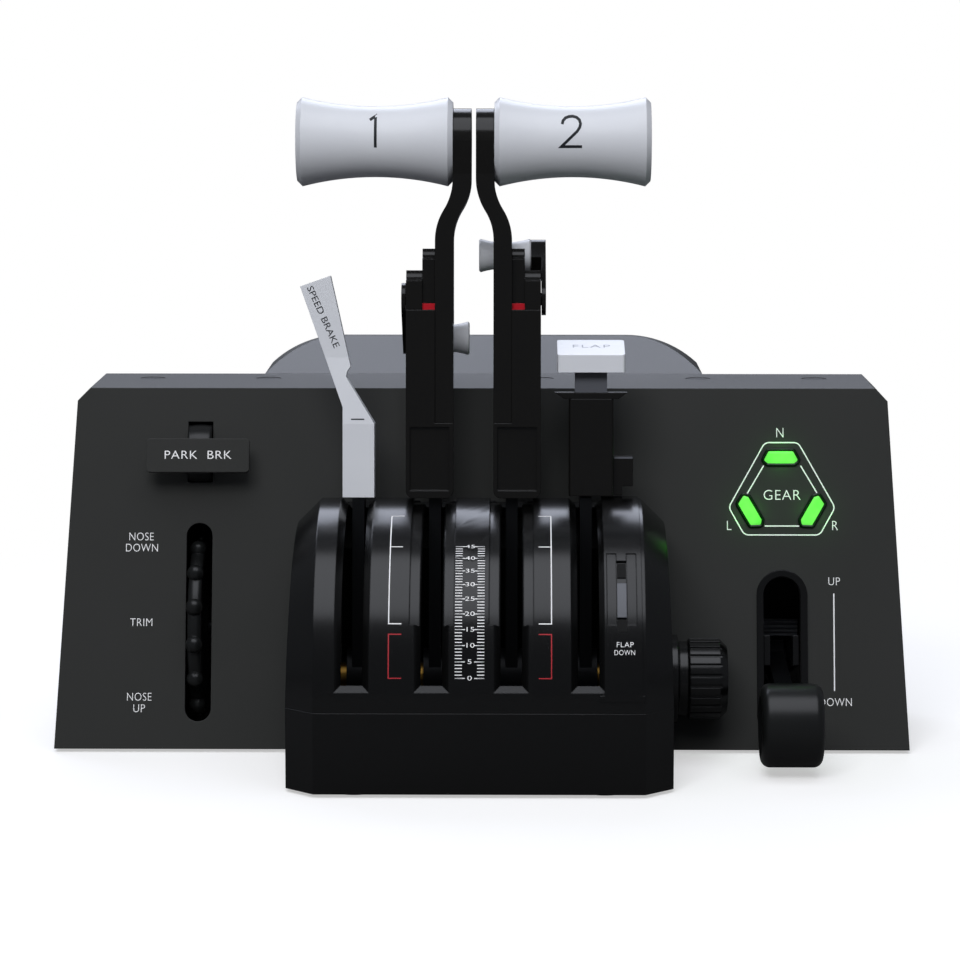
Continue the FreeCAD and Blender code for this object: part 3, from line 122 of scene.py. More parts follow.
plastics = {
    # eroded ABS of the housing: a soft broad sheen that goes pale at grazing angles
    "erodedAbsCharcoal": {"colour": "#353534", "mottle": "#313230", "wornColour": "#454546",
                          "roughness": 0.44, "roughSpread": 0.04, "ior": 1.4, "grainMm": 0.5, "flowMm": 45,
                          "grainDepth": 0.1, "edgeMm": 0.6, "wear": 0.4},
    # polished-tool ABS of the module: darker, with a clear highlight on the crest
    "satinAbsBlack": {"colour": "#080808", "mottle": "#060606", "wornColour": "#141517", "roughness": 0.22,
                      "roughSpread": 0.02, "ior": 1.56, "grainMm": 0.5, "flowMm": 35, "grainDepth": 0.03,
                      "edgeMm": 0.6, "wear": 0.4},
    # gloss polycarbonate of the lever bodies: near black with sharp edge lights
    "glossPolycarbonateBlack": {"colour": "#131210", "mottle": "#100f0e", "wornColour": "#1d1c1b",
                                "roughness": 0.16, "roughSpread": 0.03, "ior": 1.5, "grainMm": 1.2,
                                "flowMm": 20, "grainDepth": 0.02, "edgeMm": 0.6, "wear": 0.4},
    # moulded grips of the wheels: graphite, smooth enough for a clear line of light
    "gripAbsGraphite": {"colour": "#161717", "mottle": "#131414", "wornColour": "#222324", "roughness": 0.3,
                        "roughSpread": 0.03, "ior": 1.52, "grainMm": 0.5, "flowMm": 12, "grainDepth": 0.03,
                        "edgeMm": 0.4, "wear": 0.3},
    # collar round each lamp: its dark green, and the brighter green at its rounded edges, are painted glow of
    # the lens on a black bezel
    "collarPaintedGlowGreen": {"colour": "#06200a", "mottle": "#041806", "wornColour": "#0f5a16",
                           "roughness": 0.22, "roughSpread": 0.03, "ior": 1.49, "grainMm": 0.5, "flowMm": 5,
                           "grainDepth": 0.02, "edgeMm": 0.2, "wear": 0.3},
    # white handles: clean, softly shining
    "satinAbsWhite": {"colour": "#dddfe3", "mottle": "#d6d8dd", "wornColour": "#e4e5e8", "roughness": 0.34,
                      "roughSpread": 0.05, "ior": 1.53, "grainMm": 0.5, "flowMm": 18, "grainDepth": 0.06,
                      "edgeMm": 0.25, "wear": 0.0},
    # light grey slide of the gate, a touch cooler than the white
    "satinAbsGrey": {"colour": "#5d5f65", "mottle": "#585a60", "wornColour": "#7a7c82", "roughness": 0.36,
                     "roughSpread": 0.05, "ior": 1.53, "grainMm": 0.5, "flowMm": 18, "grainDepth": 0.08,
                     "edgeMm": 0.5, "wear": 0.3},
    # red warning pad under the latch
    "satinAbsRed": {"colour": "#c01a28", "mottle": "#a81320", "wornColour": "#c8404a", "roughness": 0.35,
                    "roughSpread": 0.05, "ior": 1.53, "grainMm": 0.5, "flowMm": 8, "grainDepth": 0.08,
                    "edgeMm": 0.2, "wear": 0.3},
    # rubber of the feet, dead matt; the same black also paints shade on the flap gate
    "mattRubberBlackAndPaintedShade": {"colour": "#141414", "mottle": "#191919", "wornColour": "#222222",
                           "roughness": 0.85, "roughSpread": 0.08, "ior": 1.5, "grainMm": 0.4, "flowMm": 6,
                           "grainDepth": 0.4, "edgeMm": 0.3, "wear": 0.2},
    # circuit board lacquer: green with a speckled gloss
    "solderMaskGreen": {"colour": "#0f4a2a", "mottle": "#0c3f24", "wornColour": "#2b6b45", "roughness": 0.3,
                        "roughSpread": 0.08, "ior": 1.5, "grainMm": 0.8, "flowMm": 3, "grainDepth": 0.2,
                        "edgeMm": 0.1, "wear": 0.2},
}
materials = {name: moulded(name, look) for name, look in plastics.items()}


def turned(name, look):
    material, tree = newMaterial(name)
    place = addNode(tree, "ShaderNodeTexCoord")
    stretch = addNode(tree, "ShaderNodeMapping", {"Scale": (12.0, 1.0, 1.0)}, {"Vector": (place, "Object")})
    marks = addNode(tree, "ShaderNodeTexNoise", {"Scale": 1000 / look["markMm"], "Detail": 3.0},
                    {"Vector": (stretch, "Vector")})
    sheen = addNode(tree, "ShaderNodeMapRange",
                    {"To Min": look["roughness"] - 0.08, "To Max": look["roughness"] + 0.1},
                    {"Value": (marks, "Fac")})
    bump = addNode(tree, "ShaderNodeBump", {"Strength": 0.15, "Distance": 0.02 * mm},
                   {"Height": (marks, "Fac")})
    shader = addNode(tree, "ShaderNodeBsdfPrincipled",
                     {"Base Color": hexToLinear(look["colour"]), "Metallic": look["metallic"]},
                     {"Roughness": (sheen, "Result"), "Normal": (bump, "Normal")})
    addNode(tree, "ShaderNodeOutputMaterial", {}, {"Surface": (shader, "BSDF")})
    return material


metals = {
    # tool marks run round the turned pieces and streak their shine
    "turnedSteel": {"colour": "#a9abad", "roughness": 0.32, "metallic": 1.0, "markMm": 3.0},
    "turnedBrass": {"colour": "#c79a4a", "roughness": 0.3, "metallic": 1.0, "markMm": 3.0},
    # chemically blackened steel of the lever necks
    "blackenedSteel": {"colour": "#17181a", "roughness": 0.38, "metallic": 0.6, "markMm": 4.0},
}
for name, look in metals.items():
    materials[name] = turned(name, look)


speckMm = 0.5   # size of the thin spots in the ink, coarser than real ones so that they show
patchMm = 4.0   # size of the brighter patches in a lens


def printedInk(name, colour):
    # screen printed ink: slightly uneven cover, matt
    material, tree = newMaterial(name)
    place = addNode(tree, "ShaderNodeTexCoord")
    speck = addNode(tree, "ShaderNodeTexNoise", {"Scale": 1000 / speckMm, "Detail": 2.0},
                    {"Vector": (place, "Object")})
    cover = addNode(tree, "ShaderNodeMapRange", {"To Min": 0.93, "To Max": 1.0}, {"Value": (speck, "Fac")})
    tone = addNode(tree, "ShaderNodeMix", {"data_type": "RGBA", 6: (0, 0, 0, 1), 7: hexToLinear(colour)},
                   {0: (cover, "Result")})
    shader = addNode(tree, "ShaderNodeBsdfPrincipled", {"Roughness": 0.55}, {"Base Color": (tone, 2)})
    addNode(tree, "ShaderNodeOutputMaterial", {}, {"Surface": (shader, "BSDF")})
    return material


materials["screenInkWhite"] = printedInk("screenInkWhite", "#ffffff")
materials["screenInkBlack"] = printedInk("screenInkBlack", "#202226")
materials["screenInkGrey"] = printedInk("screenInkGrey", "#a4a8b0")
materials["screenInkRed"] = printedInk("screenInkRed", "#b8323a")


def litLens(name):
    # clear green acrylic lit from behind, with a slightly uneven glow
    material, tree = newMaterial(name)
    place = addNode(tree, "ShaderNodeTexCoord")
    patch = addNode(tree, "ShaderNodeTexNoise", {"Scale": 1000 / patchMm, "Detail": 1.0},
                    {"Vector": (place, "Object")})
    tone = addNode(tree, "ShaderNodeMix", {"data_type": "RGBA", 6: hexToLinear("#5fe64a"),
                                           7: hexToLinear("#8cff6c")}, {0: (patch, "Fac")})
    shader = addNode(tree, "ShaderNodeBsdfPrincipled",
                     {"Roughness": 0.2, "IOR": 1.49, "Emission Strength": 0.85,
                      "Base Color": hexToLinear("#1d7a1a")},
                     {"Emission Color": (tone, 2)})
    addNode(tree, "ShaderNodeOutputMaterial", {}, {"Surface": (shader, "BSDF")})
    return material


materials["litAcrylicGreen"] = litLens("litAcrylicGreen")
print("materials:", len(materials))

finishes = {
    "erodedAbsCharcoal": ["panel_housing", "hump_cover", "rear_panel", "base_plate", "park_brake_plate"],
    "satinAbsGrey": ["flap_stem"],
    "satinAbsBlack": ["quadrant_base", "quadrant_cover", "flap_gate_plate", "friction_knob", "gear_wheel",
                      "park_brake_drum", "trim_wheel", "gear_bezel", "lamp_bezels", "gear_bracket"],
    "glossPolycarbonateBlack": ["throttle_body_1", "throttle_body_2", "throttle_arm_1", "throttle_arm_2",
                                "latch_block_1", "latch_block_2", "reverser_bracket_1", "reverser_bracket_2",
                                "flap_body", "flap_collar", "flap_latch"],
    "satinAbsWhite": ["throttle_knob_1", "throttle_knob_2", "reverser_knob_1", "reverser_knob_2",
                      "flap_handle", "speed_brake_handle"],
    "satinAbsRed": ["detent_pad_1", "detent_pad_2"],
    "mattRubberBlackAndPaintedShade": ["rubber_feet"],
    "solderMaskGreen": ["main_board", "sensor_board", "indicator_board"],
    "turnedSteel": ["pivot_shaft", "side_frames", "frame_ties", "park_brake_pin", "base_screws",
                    "data_socket"],
    "turnedBrass": ["shaft_spacers"],
    "blackenedSteel": ["deck_screws", "gear_arm", "throttle_blade_1", "throttle_blade_2", "speed_brake_blade",
                       "flap_blade", "gear_hinge_pin", "trim_axle", "trim_bracket", "park_brake_bracket"],
    "litAcrylicGreen": ["gear_lens_nose", "gear_lens_left", "gear_lens_right"],
}
for finish, names in finishes.items():
    for name in names:
        nodes[name].data.materials.clear()
        nodes[name].data.materials.append(materials[finish])
print("finishes on the pieces")


# ---- helpers for printed marks and small added pieces

def addPiece(name, mesh, material, body):
    piece = bpy.data.objects.new(name, mesh)
    scene.collection.objects.link(piece)
    mesh.materials.clear()
    mesh.materials.append(materials[material])
    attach(piece, body)
    return piece


def panelFrame(x, up, proud=0.0):
    # place on the slanted face in millimetres: x across, y up the face, z out of it
    place = Vector((x * mm, footY + (up * math.sin(lean) - proud * math.cos(lean)) * mm,
                    footZ + (up * math.cos(lean) + proud * math.sin(lean)) * mm))
    return Matrix.Translation(place) @ Matrix.Rotation(math.pi / 2 - lean, 4, "X")


def arcFrame(x, degrees, radius):
    # place on the arched cover: x across in millimetres, y up the arc, z out of it
    angle = math.radians(degrees)
    place = Vector((x * mm, pivot.y - radius * math.cos(angle), pivot.z + radius * math.sin(angle)))
    return Matrix.Translation(place) @ Matrix.Rotation(math.pi / 2 - angle, 4, "X")


def textMesh(text, height, spacing=1.0, thin=0.0, widen=1.0):
    # flat lettering with capitals of the given height in millimetres, centred on its origin
    curve = bpy.data.curves.new("lettering", "FONT")
    curve.body = text
    curve.size = height * mm / 0.729
    curve.space_character = spacing
    curve.offset = -thin * height * mm
    curve.align_x = "CENTER"
    curve.align_y = "CENTER"
    curve.resolution_u = 4
    carrier = bpy.data.objects.new("lettering", curve)
    scene.collection.objects.link(carrier)
    bpy.context.view_layer.update()
    mesh = bpy.data.meshes.new_from_object(carrier.evaluated_get(bpy.context.evaluated_depsgraph_get()))
    bpy.data.objects.remove(carrier)
    mesh.transform(Matrix.Diagonal((widen, 1, 1, 1)))
    return mesh


def ribbon(points, width, closed=False):
    # flat stroke of a width along points, all in millimetres
    line = [Vector(p) * mm for p in points]
    count = len(line)
    work = bmesh.new()
    pairs = []
    for i, point in enumerate(line):
        before = line[i - 1] if closed or i > 0 else point
        after = line[(i + 1) % count] if closed or i < count - 1 else point
        along = ((point - before).normalized() + (after - point).normalized()).normalized()
        leg = (after - point) if (after - point).length else (point - before)
        across = Vector((-along.y, along.x))
        reach = width * mm / 2 / max(0.3, across.dot(Vector((-leg.y, leg.x)).normalized()))
        pairs.append([work.verts.new((*(point + across * reach * s), 0)) for s in (1, -1)])
    for i in range(count if closed else count - 1):
        low, high = pairs[i], pairs[(i + 1) % count]
        work.faces.new((low[0], low[1], high[1], high[0]))
    mesh = bpy.data.meshes.new("stroke")
    work.to_mesh(mesh)
    work.free()
    return mesh


def roundCorners(points, radius, steps=6):
    # closed outline with each corner replaced by an arc
    result = []
    count = len(points)
    for i in range(count):
        corner = Vector(points[i])
        back = (Vector(points[i - 1]) - corner).normalized()
        ahead = (Vector(points[(i + 1) % count]) - corner).normalized()
        half = back.angle(ahead) / 2
        centre = corner + (back + ahead).normalized() * (radius / math.sin(half))
        start = corner + back * (radius / math.tan(half)) - centre
        end = corner + ahead * (radius / math.tan(half)) - centre
        turn = start.angle_signed(end)
        for step in range(steps + 1):
            angle = -turn * step / steps
            spun = Vector((start.x * math.cos(angle) - start.y * math.sin(angle),
                           start.x * math.sin(angle) + start.y * math.cos(angle)))
            result.append(tuple(centre + spun))
    return result


def arcBand(left, right, low, high, radius):
    # strip that follows the cover: x limits in millimetres, angles in degrees
    steps = max(1, round((high - low) / 2))
    work = bmesh.new()
    rows = []
    for i in range(steps + 1):
        angle = math.radians(low + (high - low) * i / steps)
        y, z = pivot.y - radius * math.cos(angle), pivot.z + radius * math.sin(angle)
        rows.append([work.verts.new((x * mm, y, z)) for x in (left, right)])
    for lower, upper in zip(rows, rows[1:]):
        work.faces.new((lower[0], lower[1], upper[1], upper[0]))
    mesh = bpy.data.meshes.new("band")
    work.to_mesh(mesh)
    work.free()
    return mesh


def joinMeshes(name, parts):
    # parts: meshes already in place, or (mesh, matrix) pairs
    work = bmesh.new()
    for part in parts:
        mesh, matrix = part if isinstance(part, tuple) else (part, Matrix())
        mesh.transform(matrix)
        work.from_mesh(mesh)
        bpy.data.meshes.remove(mesh)
    result = bpy.data.meshes.new(name)
    work.to_mesh(result)
    work.free()
    return result


# ---- lettering and lines on the slanted panel

panelPrint = {
    # text, middle x, height up the face, capital height and width factor, in millimetres
    "words": [
        ("NOSE", -136.7, 84.9, 3.4, 0.83), ("DOWN", -136.4, 80.4, 3.4, 0.83),
        ("TRIM", -136.2, 50.4, 3.4, 0.86), ("NOSE", -136.8, 20.6, 3.4, 0.83), ("UP", -136.8, 16.0, 3.4, 0.86),
        ("UP", 140.9, 67.3, 3.4, 0.86), ("DOWN", 141.2, 19.0, 3.4, 0.83),
        ("N", 119.7, 127.2, 4.2, 0.82), ("L", 99.0, 89.7, 4.1, 0.84), ("R", 141.4, 89.7, 4.1, 0.84),
        ("GEAR", 120.3, 102.0, 4.3, 1.0),
    ],
    "travelLine": [(140.8, 62.6), (140.8, 23.6)],
    "cluster": [(113.6, 123.4), (127.0, 123.4), (141.6, 97.2), (135.4, 86.1), (105.2, 86.1), (99.0, 97.2)],
    "insideLines": [((113.1, 114.1), (106.4, 102.7)), ((127.9, 114.1), (134.6, 102.7)),
                    ((113.4, 89.7), (127.2, 89.7))],
    "lineWidth": 0.5,
}
onFace = panelFrame(0, 0, inkLift)
parts = [(textMesh(text, height, 1.06, 0.016, widen), panelFrame(x, up, inkLift))
         for text, x, up, height, widen in panelPrint["words"]]
parts.append((ribbon(panelPrint["travelLine"], panelPrint["lineWidth"]), onFace))
parts.append((ribbon(roundCorners(panelPrint["cluster"], 3.0), panelPrint["lineWidth"], True), onFace))
for line in panelPrint["insideLines"]:
    parts.append((ribbon(line, panelPrint["lineWidth"]), onFace))
addPiece("panel_print", joinMeshes("panel_print", parts), "screenInkWhite", "base")
print("panel print")

# ---- scale, brackets and words on the cover

coverPrint = {
    "scaleZero": 10.7, "scaleTop": 55.4,     # angles of the 0 and the 45, up from the pilot's side
    "marks": 46, "tickWidth": 0.35, "shortTick": 2.7, "longTick": 3.8,
    "leftEdge": -9.2, "rightEdge": 1.9, "numberX": -3.6, "numberHeight": 1.85, "numberWiden": 1.5,
    "bracketLeft": -34.1, "bracketRight": 27.1, "arm": 4.8, "lineWidth": 0.42,
    "whiteAngles": (71.9, 55.3, 27.4), "redAngles": (24.1, 10.7),
}


def tickTree():
    # ticks spread round the cover's arc; each is a small flat bar
    tree = bpy.data.node_groups.new("scale_ticks", "GeometryNodeTree")
    tree.interface.new_socket("Geometry", in_out="OUTPUT", socket_type="NodeSocketGeometry")
    wanted = {"Count": "NodeSocketInt", "First Angle": "NodeSocketFloat", "Step": "NodeSocketFloat",
              "Radius": "NodeSocketFloat", "Middle X": "NodeSocketFloat", "Length": "NodeSocketFloat",
              "Width": "NodeSocketFloat", "Pivot": "NodeSocketVector", "Material": "NodeSocketMaterial"}
    for name, kind in wanted.items():
        tree.interface.new_socket(name, in_out="INPUT", socket_type=kind)
    given = addNode(tree, "NodeGroupInput")
    number = addNode(tree, "GeometryNodeInputIndex")
    angle = addNode(tree, "ShaderNodeMath", {"operation": "MULTIPLY_ADD"},
                    {0: (number, "Index"), 1: (given, "Step"), 2: (given, "First Angle")})
    cosine = addNode(tree, "ShaderNodeMath", {"operation": "COSINE"}, {0: (angle, "Value")})
    sine = addNode(tree, "ShaderNodeMath", {"operation": "SINE"}, {0: (angle, "Value")})
    back = addNode(tree, "ShaderNodeMath", {"operation": "MULTIPLY"},
                   {0: (cosine, "Value"), 1: (given, "Radius")})
    front = addNode(tree, "ShaderNodeMath", {"operation": "MULTIPLY", 1: -1.0}, {0: (back, "Value")})
    up = addNode(tree, "ShaderNodeMath", {"operation": "MULTIPLY"},
                 {0: (sine, "Value"), 1: (given, "Radius")})
    offset = addNode(tree, "ShaderNodeCombineXYZ", {}, {"X": (given, "Middle X"), "Y": (front, "Value"),
                                                        "Z": (up, "Value")})
    place = addNode(tree, "ShaderNodeVectorMath", {"operation": "ADD"},
                    {0: (offset, "Vector"), 1: (given, "Pivot")})
    points = addNode(tree, "GeometryNodePoints", {},
                     {"Count": (given, "Count"), "Position": (place, "Vector")})
    bar = addNode(tree, "GeometryNodeMeshGrid", {"Vertices X": 2, "Vertices Y": 2},
                  {"Size X": (given, "Length"), "Size Y": (given, "Width")})
    tilt = addNode(tree, "ShaderNodeMath", {"operation": "SUBTRACT", 0: math.pi / 2}, {1: (angle, "Value")})
    turn = addNode(tree, "ShaderNodeCombineXYZ", {}, {"X": (tilt, "Value")})
    copies = addNode(tree, "GeometryNodeInstanceOnPoints", {},
                     {"Points": (points, 0), "Instance": (bar, "Mesh"), "Rotation": (turn, "Vector")})
    solid = addNode(tree, "GeometryNodeRealizeInstances", {}, {"Geometry": (copies, "Instances")})
    dressed = addNode(tree, "GeometryNodeSetMaterial", {}, {"Geometry": (solid, "Geometry"),
                                                            "Material": (given, "Material")})
    addNode(tree, "NodeGroupOutput", {}, {"Geometry": (dressed, "Geometry")})
    return tree


def fromTree(tree, values):
    # plain mesh that a node tree makes from its named inputs
    carrier = bpy.data.objects.new("maker", bpy.data.meshes.new("maker"))
    scene.collection.objects.link(carrier)
    modifier = carrier.modifiers.new("maker", "NODES")
    modifier.node_group = tree
    for item in tree.interface.items_tree:
        if item.item_type == "SOCKET" and item.in_out == "INPUT" and item.name in values:
            modifier[item.identifier] = values[item.name]
    bpy.context.view_layer.update()
    mesh = bpy.data.meshes.new_from_object(carrier.evaluated_get(bpy.context.evaluated_depsgraph_get()))
    bpy.data.objects.remove(carrier)
    return mesh


step = (coverPrint["scaleTop"] - coverPrint["scaleZero"]) / (coverPrint["marks"] - 1)
inkRadius = coverRadius + inkLift * mm
ticks = tickTree()
parts = []
for edge, inward in ((coverPrint["leftEdge"], 1), (coverPrint["rightEdge"], -1)):
    for every, length in ((1, coverPrint["shortTick"]), (5, coverPrint["longTick"])):
        parts.append(fromTree(ticks, {
            "Count": (coverPrint["marks"] - 1) // every + 1,
            "First Angle": math.radians(coverPrint["scaleZero"]),
            "Step": math.radians(step * every), "Radius": inkRadius, "Length": length * mm,
            "Middle X": (edge + inward * length / 2) * mm, "Width": coverPrint["tickWidth"] * mm,
            "Pivot": (0.0, pivot.y, pivot.z), "Material": materials["screenInkWhite"]}))
for number in range(0, 46, 5):
    parts.append((textMesh(str(number), coverPrint["numberHeight"], 1.05, 0.0, coverPrint["numberWiden"]),
                  arcFrame(coverPrint["numberX"], coverPrint["scaleZero"] + step * number, inkRadius)))
halfLine = coverPrint["lineWidth"] / 2
halfTurn = math.degrees(halfLine * mm / coverRadius)
redParts = []
for x, inward in ((coverPrint["bracketLeft"], 1), (coverPrint["bracketRight"], -1)):
    left, right = sorted((x - inward * halfLine, x + inward * coverPrint["arm"]))
    for angles, target in ((coverPrint["whiteAngles"], parts), (coverPrint["redAngles"], redParts)):
        target.append(arcBand(x - halfLine, x + halfLine, angles[-1], angles[0], inkRadius))
        for angle in angles:
            target.append(arcBand(left, right, angle - halfTurn, angle + halfTurn, inkRadius))
addPiece("cover_scale", joinMeshes("cover_scale", parts), "screenInkWhite", "base")
addPiece("cover_red_marks", joinMeshes("cover_red_marks", redParts), "screenInkRed", "base")

gatePrint = [("FLAP", 54.6, 20.8, 1.02), ("DOWN", 54.5, 18.4, 0.8)]
parts = [(textMesh(text, 2.1, 1.08, 0.01, widen), arcFrame(x, angle, gateRadius + inkLift * mm))
         for text, x, angle, widen in gatePrint]
addPiece("gate_print", joinMeshes("gate_print", parts), "screenInkWhite", "base")
print("cover print")

# ---- numerals and words on the handles

numerals = {
    # strokes in millimetres from the middle of each numeral
    "1": [[(-1.7, 4.6), (0.5, 6.0), (0.5, -6.0)]],
    "2": [[(-3.6, 3.0), (-3.3, 4.3), (-2.3, 5.4), (-0.9, 5.9), (0.5, 6.0), (2.0, 5.6), (3.1, 4.6), (3.5, 3.2),
           (3.2, 1.8), (2.2, 0.3), (-3.9, -5.6), (4.1, -5.6)]],
}
upright = Matrix.Rotation(math.pi / 2, 4, "X")   # stands a flat mesh up so that it faces the pilot
numeralStroke = 1.1
knobBevel = 2.0
knobHollow = 3.6   # how far the waist lies inside the ends


def ontoKnob(mesh, node):
    # press flat strokes back onto the hollowed handle, measured from the solid itself
    low, high = (Vector(corner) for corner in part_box(node))
    middle = (low + high) / 2
    end = (high.z - low.z) / 2
    waist = end - knobHollow * mm
    half = (high.x - low.x) / 2 - knobBevel * mm
    sag = end - waist
    arc = (half * half + sag * sag) / (2 * sag)
    for vertex in mesh.vertices:
        x = vertex.co.x - middle.x
        radius = waist + arc - math.sqrt(arc * arc - x * x) + inkLift * mm
        z = vertex.co.z - middle.z
        vertex.co.y = middle.y - math.sqrt(max(radius * radius - z * z, 0))
    return mesh


numeralStep = 0.7
for digit, node, x, up in (("1", "throttle_knob_1", -41.6, 4.3), ("2", "throttle_knob_2", 35.0, 4.3)):
    low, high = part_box(node)
    middleZ = (low[2] + high[2]) / 2
    parts = []
    for stroke in numerals[digit]:
        dense = []
        for start, end in zip(stroke, stroke[1:]):
            pieces = max(1, round((Vector(end) - Vector(start)).length / numeralStep))
            dense += [tuple(Vector(start).lerp(Vector(end), i / pieces)) for i in range(pieces)]
        dense.append(stroke[-1])
        place = Matrix.Translation((x * mm, 0, middleZ + up * mm)) @ upright
        parts.append((ribbon(dense, numeralStroke), place))
    mesh = ontoKnob(joinMeshes(f"knob_numeral_{digit}", parts), node)
    addPiece(f"knob_numeral_{digit}", mesh, "screenInkBlack", f"throttle_{digit}")

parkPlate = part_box("park_brake_plate")
parkPrint = {"height": 3.5, "spacing": 1.08, "thin": 0.008, "widen": 1.1, "plateProud": 11.5,
             "printProud": 13}
parkUp = (((parkPlate[0][2] + parkPlate[1][2]) / 2 - footZ) / mm / math.cos(lean)
          - parkPrint["plateProud"] * math.tan(lean))
parkX = (parkPlate[0][0] + parkPlate[1][0]) / 2 / mm
parkWord = textMesh("PARK  BRK", parkPrint["height"], parkPrint["spacing"], parkPrint["thin"],
                    parkPrint["widen"])
parkWord = joinMeshes("park_brake_print", [
    (parkWord, panelFrame(parkX, parkUp, parkPrint["printProud"] + inkLift))])
addPiece("park_brake_print", parkWord, "screenInkWhite", "park_brake")


castFrom = 0.1   # metres in front of the mark where each ray starts


def ontoSurface(mesh, node, direction):
    # drop every corner of a flat mesh onto a piece along a direction, then lift it by the ink
    target = nodes[node]
    ray = Vector(direction).normalized()
    for vertex in mesh.vertices:
        start = vertex.co - ray * castFrom
        hit, place = target.ray_cast(start, ray)[:2]
        if hit:
            vertex.co = place - ray * inkLift * mm
    return mesh


brakeWord = {"x": -62.0, "z": 174.5, "turn": 65.6, "height": 2.7, "length": 25.9}
# a short black line under a small notch on the handle is painted shade, laid in the same ink as the lettering
clipNotchShade = {"x": -48.3, "z": 135.0, "length": 5.2, "width": 0.5}
word = textMesh("SPEED BRAKE", brakeWord["height"])
wordSpan = max(v.co.x for v in word.vertices) - min(v.co.x for v in word.vertices)
word.transform(Matrix.Diagonal((brakeWord["length"] * mm / wordSpan, 1, 1, 1)))
word.transform(Matrix.Translation((brakeWord["x"] * mm, 0, brakeWord["z"] * mm))
               @ Matrix.Rotation(math.radians(brakeWord["turn"]), 4, "Y") @ upright)
clipNotchShadeLine = ribbon([(-clipNotchShade["length"] / 2, 0), (clipNotchShade["length"] / 2, 0)], clipNotchShade["width"])
clipNotchShadeLine.transform(Matrix.Translation((clipNotchShade["x"] * mm, 0, clipNotchShade["z"] * mm)) @ upright)
brakePrintAndShade = ontoSurface(joinMeshes("speed_brake_print_and_shade", [word, clipNotchShadeLine]), "speed_brake_handle", (0, 1, 0))
addPiece("speed_brake_print_and_shade", brakePrintAndShade, "screenInkBlack", "speed_brake")

latchLine = {"ends": [(52.2, 119.8), (59.3, 119.8)], "width": 0.8}   # across and up, in millimetres
latchStrip = ribbon(latchLine["ends"], latchLine["width"])
latchStrip.transform(upright)
addPiece("flap_latch_strip", ontoSurface(latchStrip, "flap_latch", (0, 1, 0)), "satinAbsGrey", "flap_lift")

flapLow, flapHigh = (Vector(corner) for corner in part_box("flap_handle"))
flapMiddle = (flapLow + flapHigh) / 2
flapPrint = {"height": 3.4, "spacing": 1.2, "thin": 0.01, "widen": 1.35, "back": 1.5}
flapWord = textMesh("FLAP", flapPrint["height"], flapPrint["spacing"], flapPrint["thin"], flapPrint["widen"])
flapWord.transform(Matrix.Translation((flapMiddle.x, flapMiddle.y + flapPrint["back"] * mm, flapHigh.z)))
flapWord = ontoSurface(flapWord, "flap_handle", (0, 0, -1))
addPiece("flap_print", flapWord, "screenInkGrey", "flap_lever")
print("handle print")

# ---- trim wheel with ball grips, in place of the plain solid

trimPlace = Vector(next(j["pos_m"] for j in frame["joints"] if j["name"] == "trim_spin"))
trimLook = {"balls": 15, "firstBall": 195.4, "ballRadius": 3.4, "rimRadius": 36, "rimHalf": 2.7,
            "rimRound": 1.6, "hubHalf": 3.0, "hubRadius": 8, "webHalf": 1.6, "webInner": 10, "webOuter": 28,
            "rimInner": 31, "bore": 3.1, "aside": -1.3, "arcSteps": 8}


def spun(profile, segments, axisPlace):
    # ring solid about the X axis from (x, radius) points in millimetres
    work = bmesh.new()
    rings = []
    for i in range(segments):
        angle = 2 * math.pi * i / segments
        rings.append([work.verts.new((axisPlace.x + x * mm, axisPlace.y + r * mm * math.cos(angle),
                                      axisPlace.z + r * mm * math.sin(angle))) for x, r in profile])
    for i in range(segments):
        first, second = rings[i], rings[(i + 1) % segments]
        for j in range(len(profile)):
            k = (j + 1) % len(profile)
            work.faces.new((first[j], first[k], second[k], second[j]))
    bmesh.ops.recalc_face_normals(work, faces=work.faces)
    for face in work.faces:
        face.smooth = True
    mesh = bpy.data.meshes.new("spun")
    work.to_mesh(mesh)
    work.free()
    return mesh


rim = []
for step in range(trimLook["arcSteps"] + 1):
    angle = math.radians(-90 + 180 * step / trimLook["arcSteps"])
    rim.append((trimLook["rimHalf"] * math.sin(angle),
                trimLook["rimRadius"] - trimLook["rimRound"] * (1 - math.cos(angle))))
side = [(trimLook["hubHalf"], trimLook["bore"]), (trimLook["hubHalf"], trimLook["hubRadius"]),
        (trimLook["webHalf"], trimLook["webInner"]), (trimLook["webHalf"], trimLook["webOuter"]),
        (trimLook["rimHalf"], trimLook["rimInner"])]
profile = [(-x, r) for x, r in side] + rim + side[::-1]
trimPlace = trimPlace + Vector((trimLook["aside"] * mm, 0, 0))
parts = [spun(profile, 128, trimPlace)]
for ball in range(trimLook["balls"]):
    angle = math.radians(trimLook["firstBall"] - math.degrees(lean)) + 2 * math.pi * ball / trimLook["balls"]
    work = bmesh.new()
    bmesh.ops.create_uvsphere(work, u_segments=28, v_segments=18, radius=trimLook["ballRadius"] * mm)
    for face in work.faces:
        face.smooth = True
    mesh = bpy.data.meshes.new("ball")
    work.to_mesh(mesh)
    work.free()
    outwards = Vector((0, math.cos(angle), math.sin(angle)))
    parts.append((mesh, Matrix.Translation(trimPlace + outwards * (trimLook["rimRadius"] * mm))))
trimWheel = addPiece("trim_wheel_balls", joinMeshes("trim_wheel_balls", parts), "gripAbsGraphite",
                     "trim_wheel_body")
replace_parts(trimWheel, "trim_wheel")
print("trim wheel")

# ---- gear wheel with full round shoulders, in place of the bevelled solid

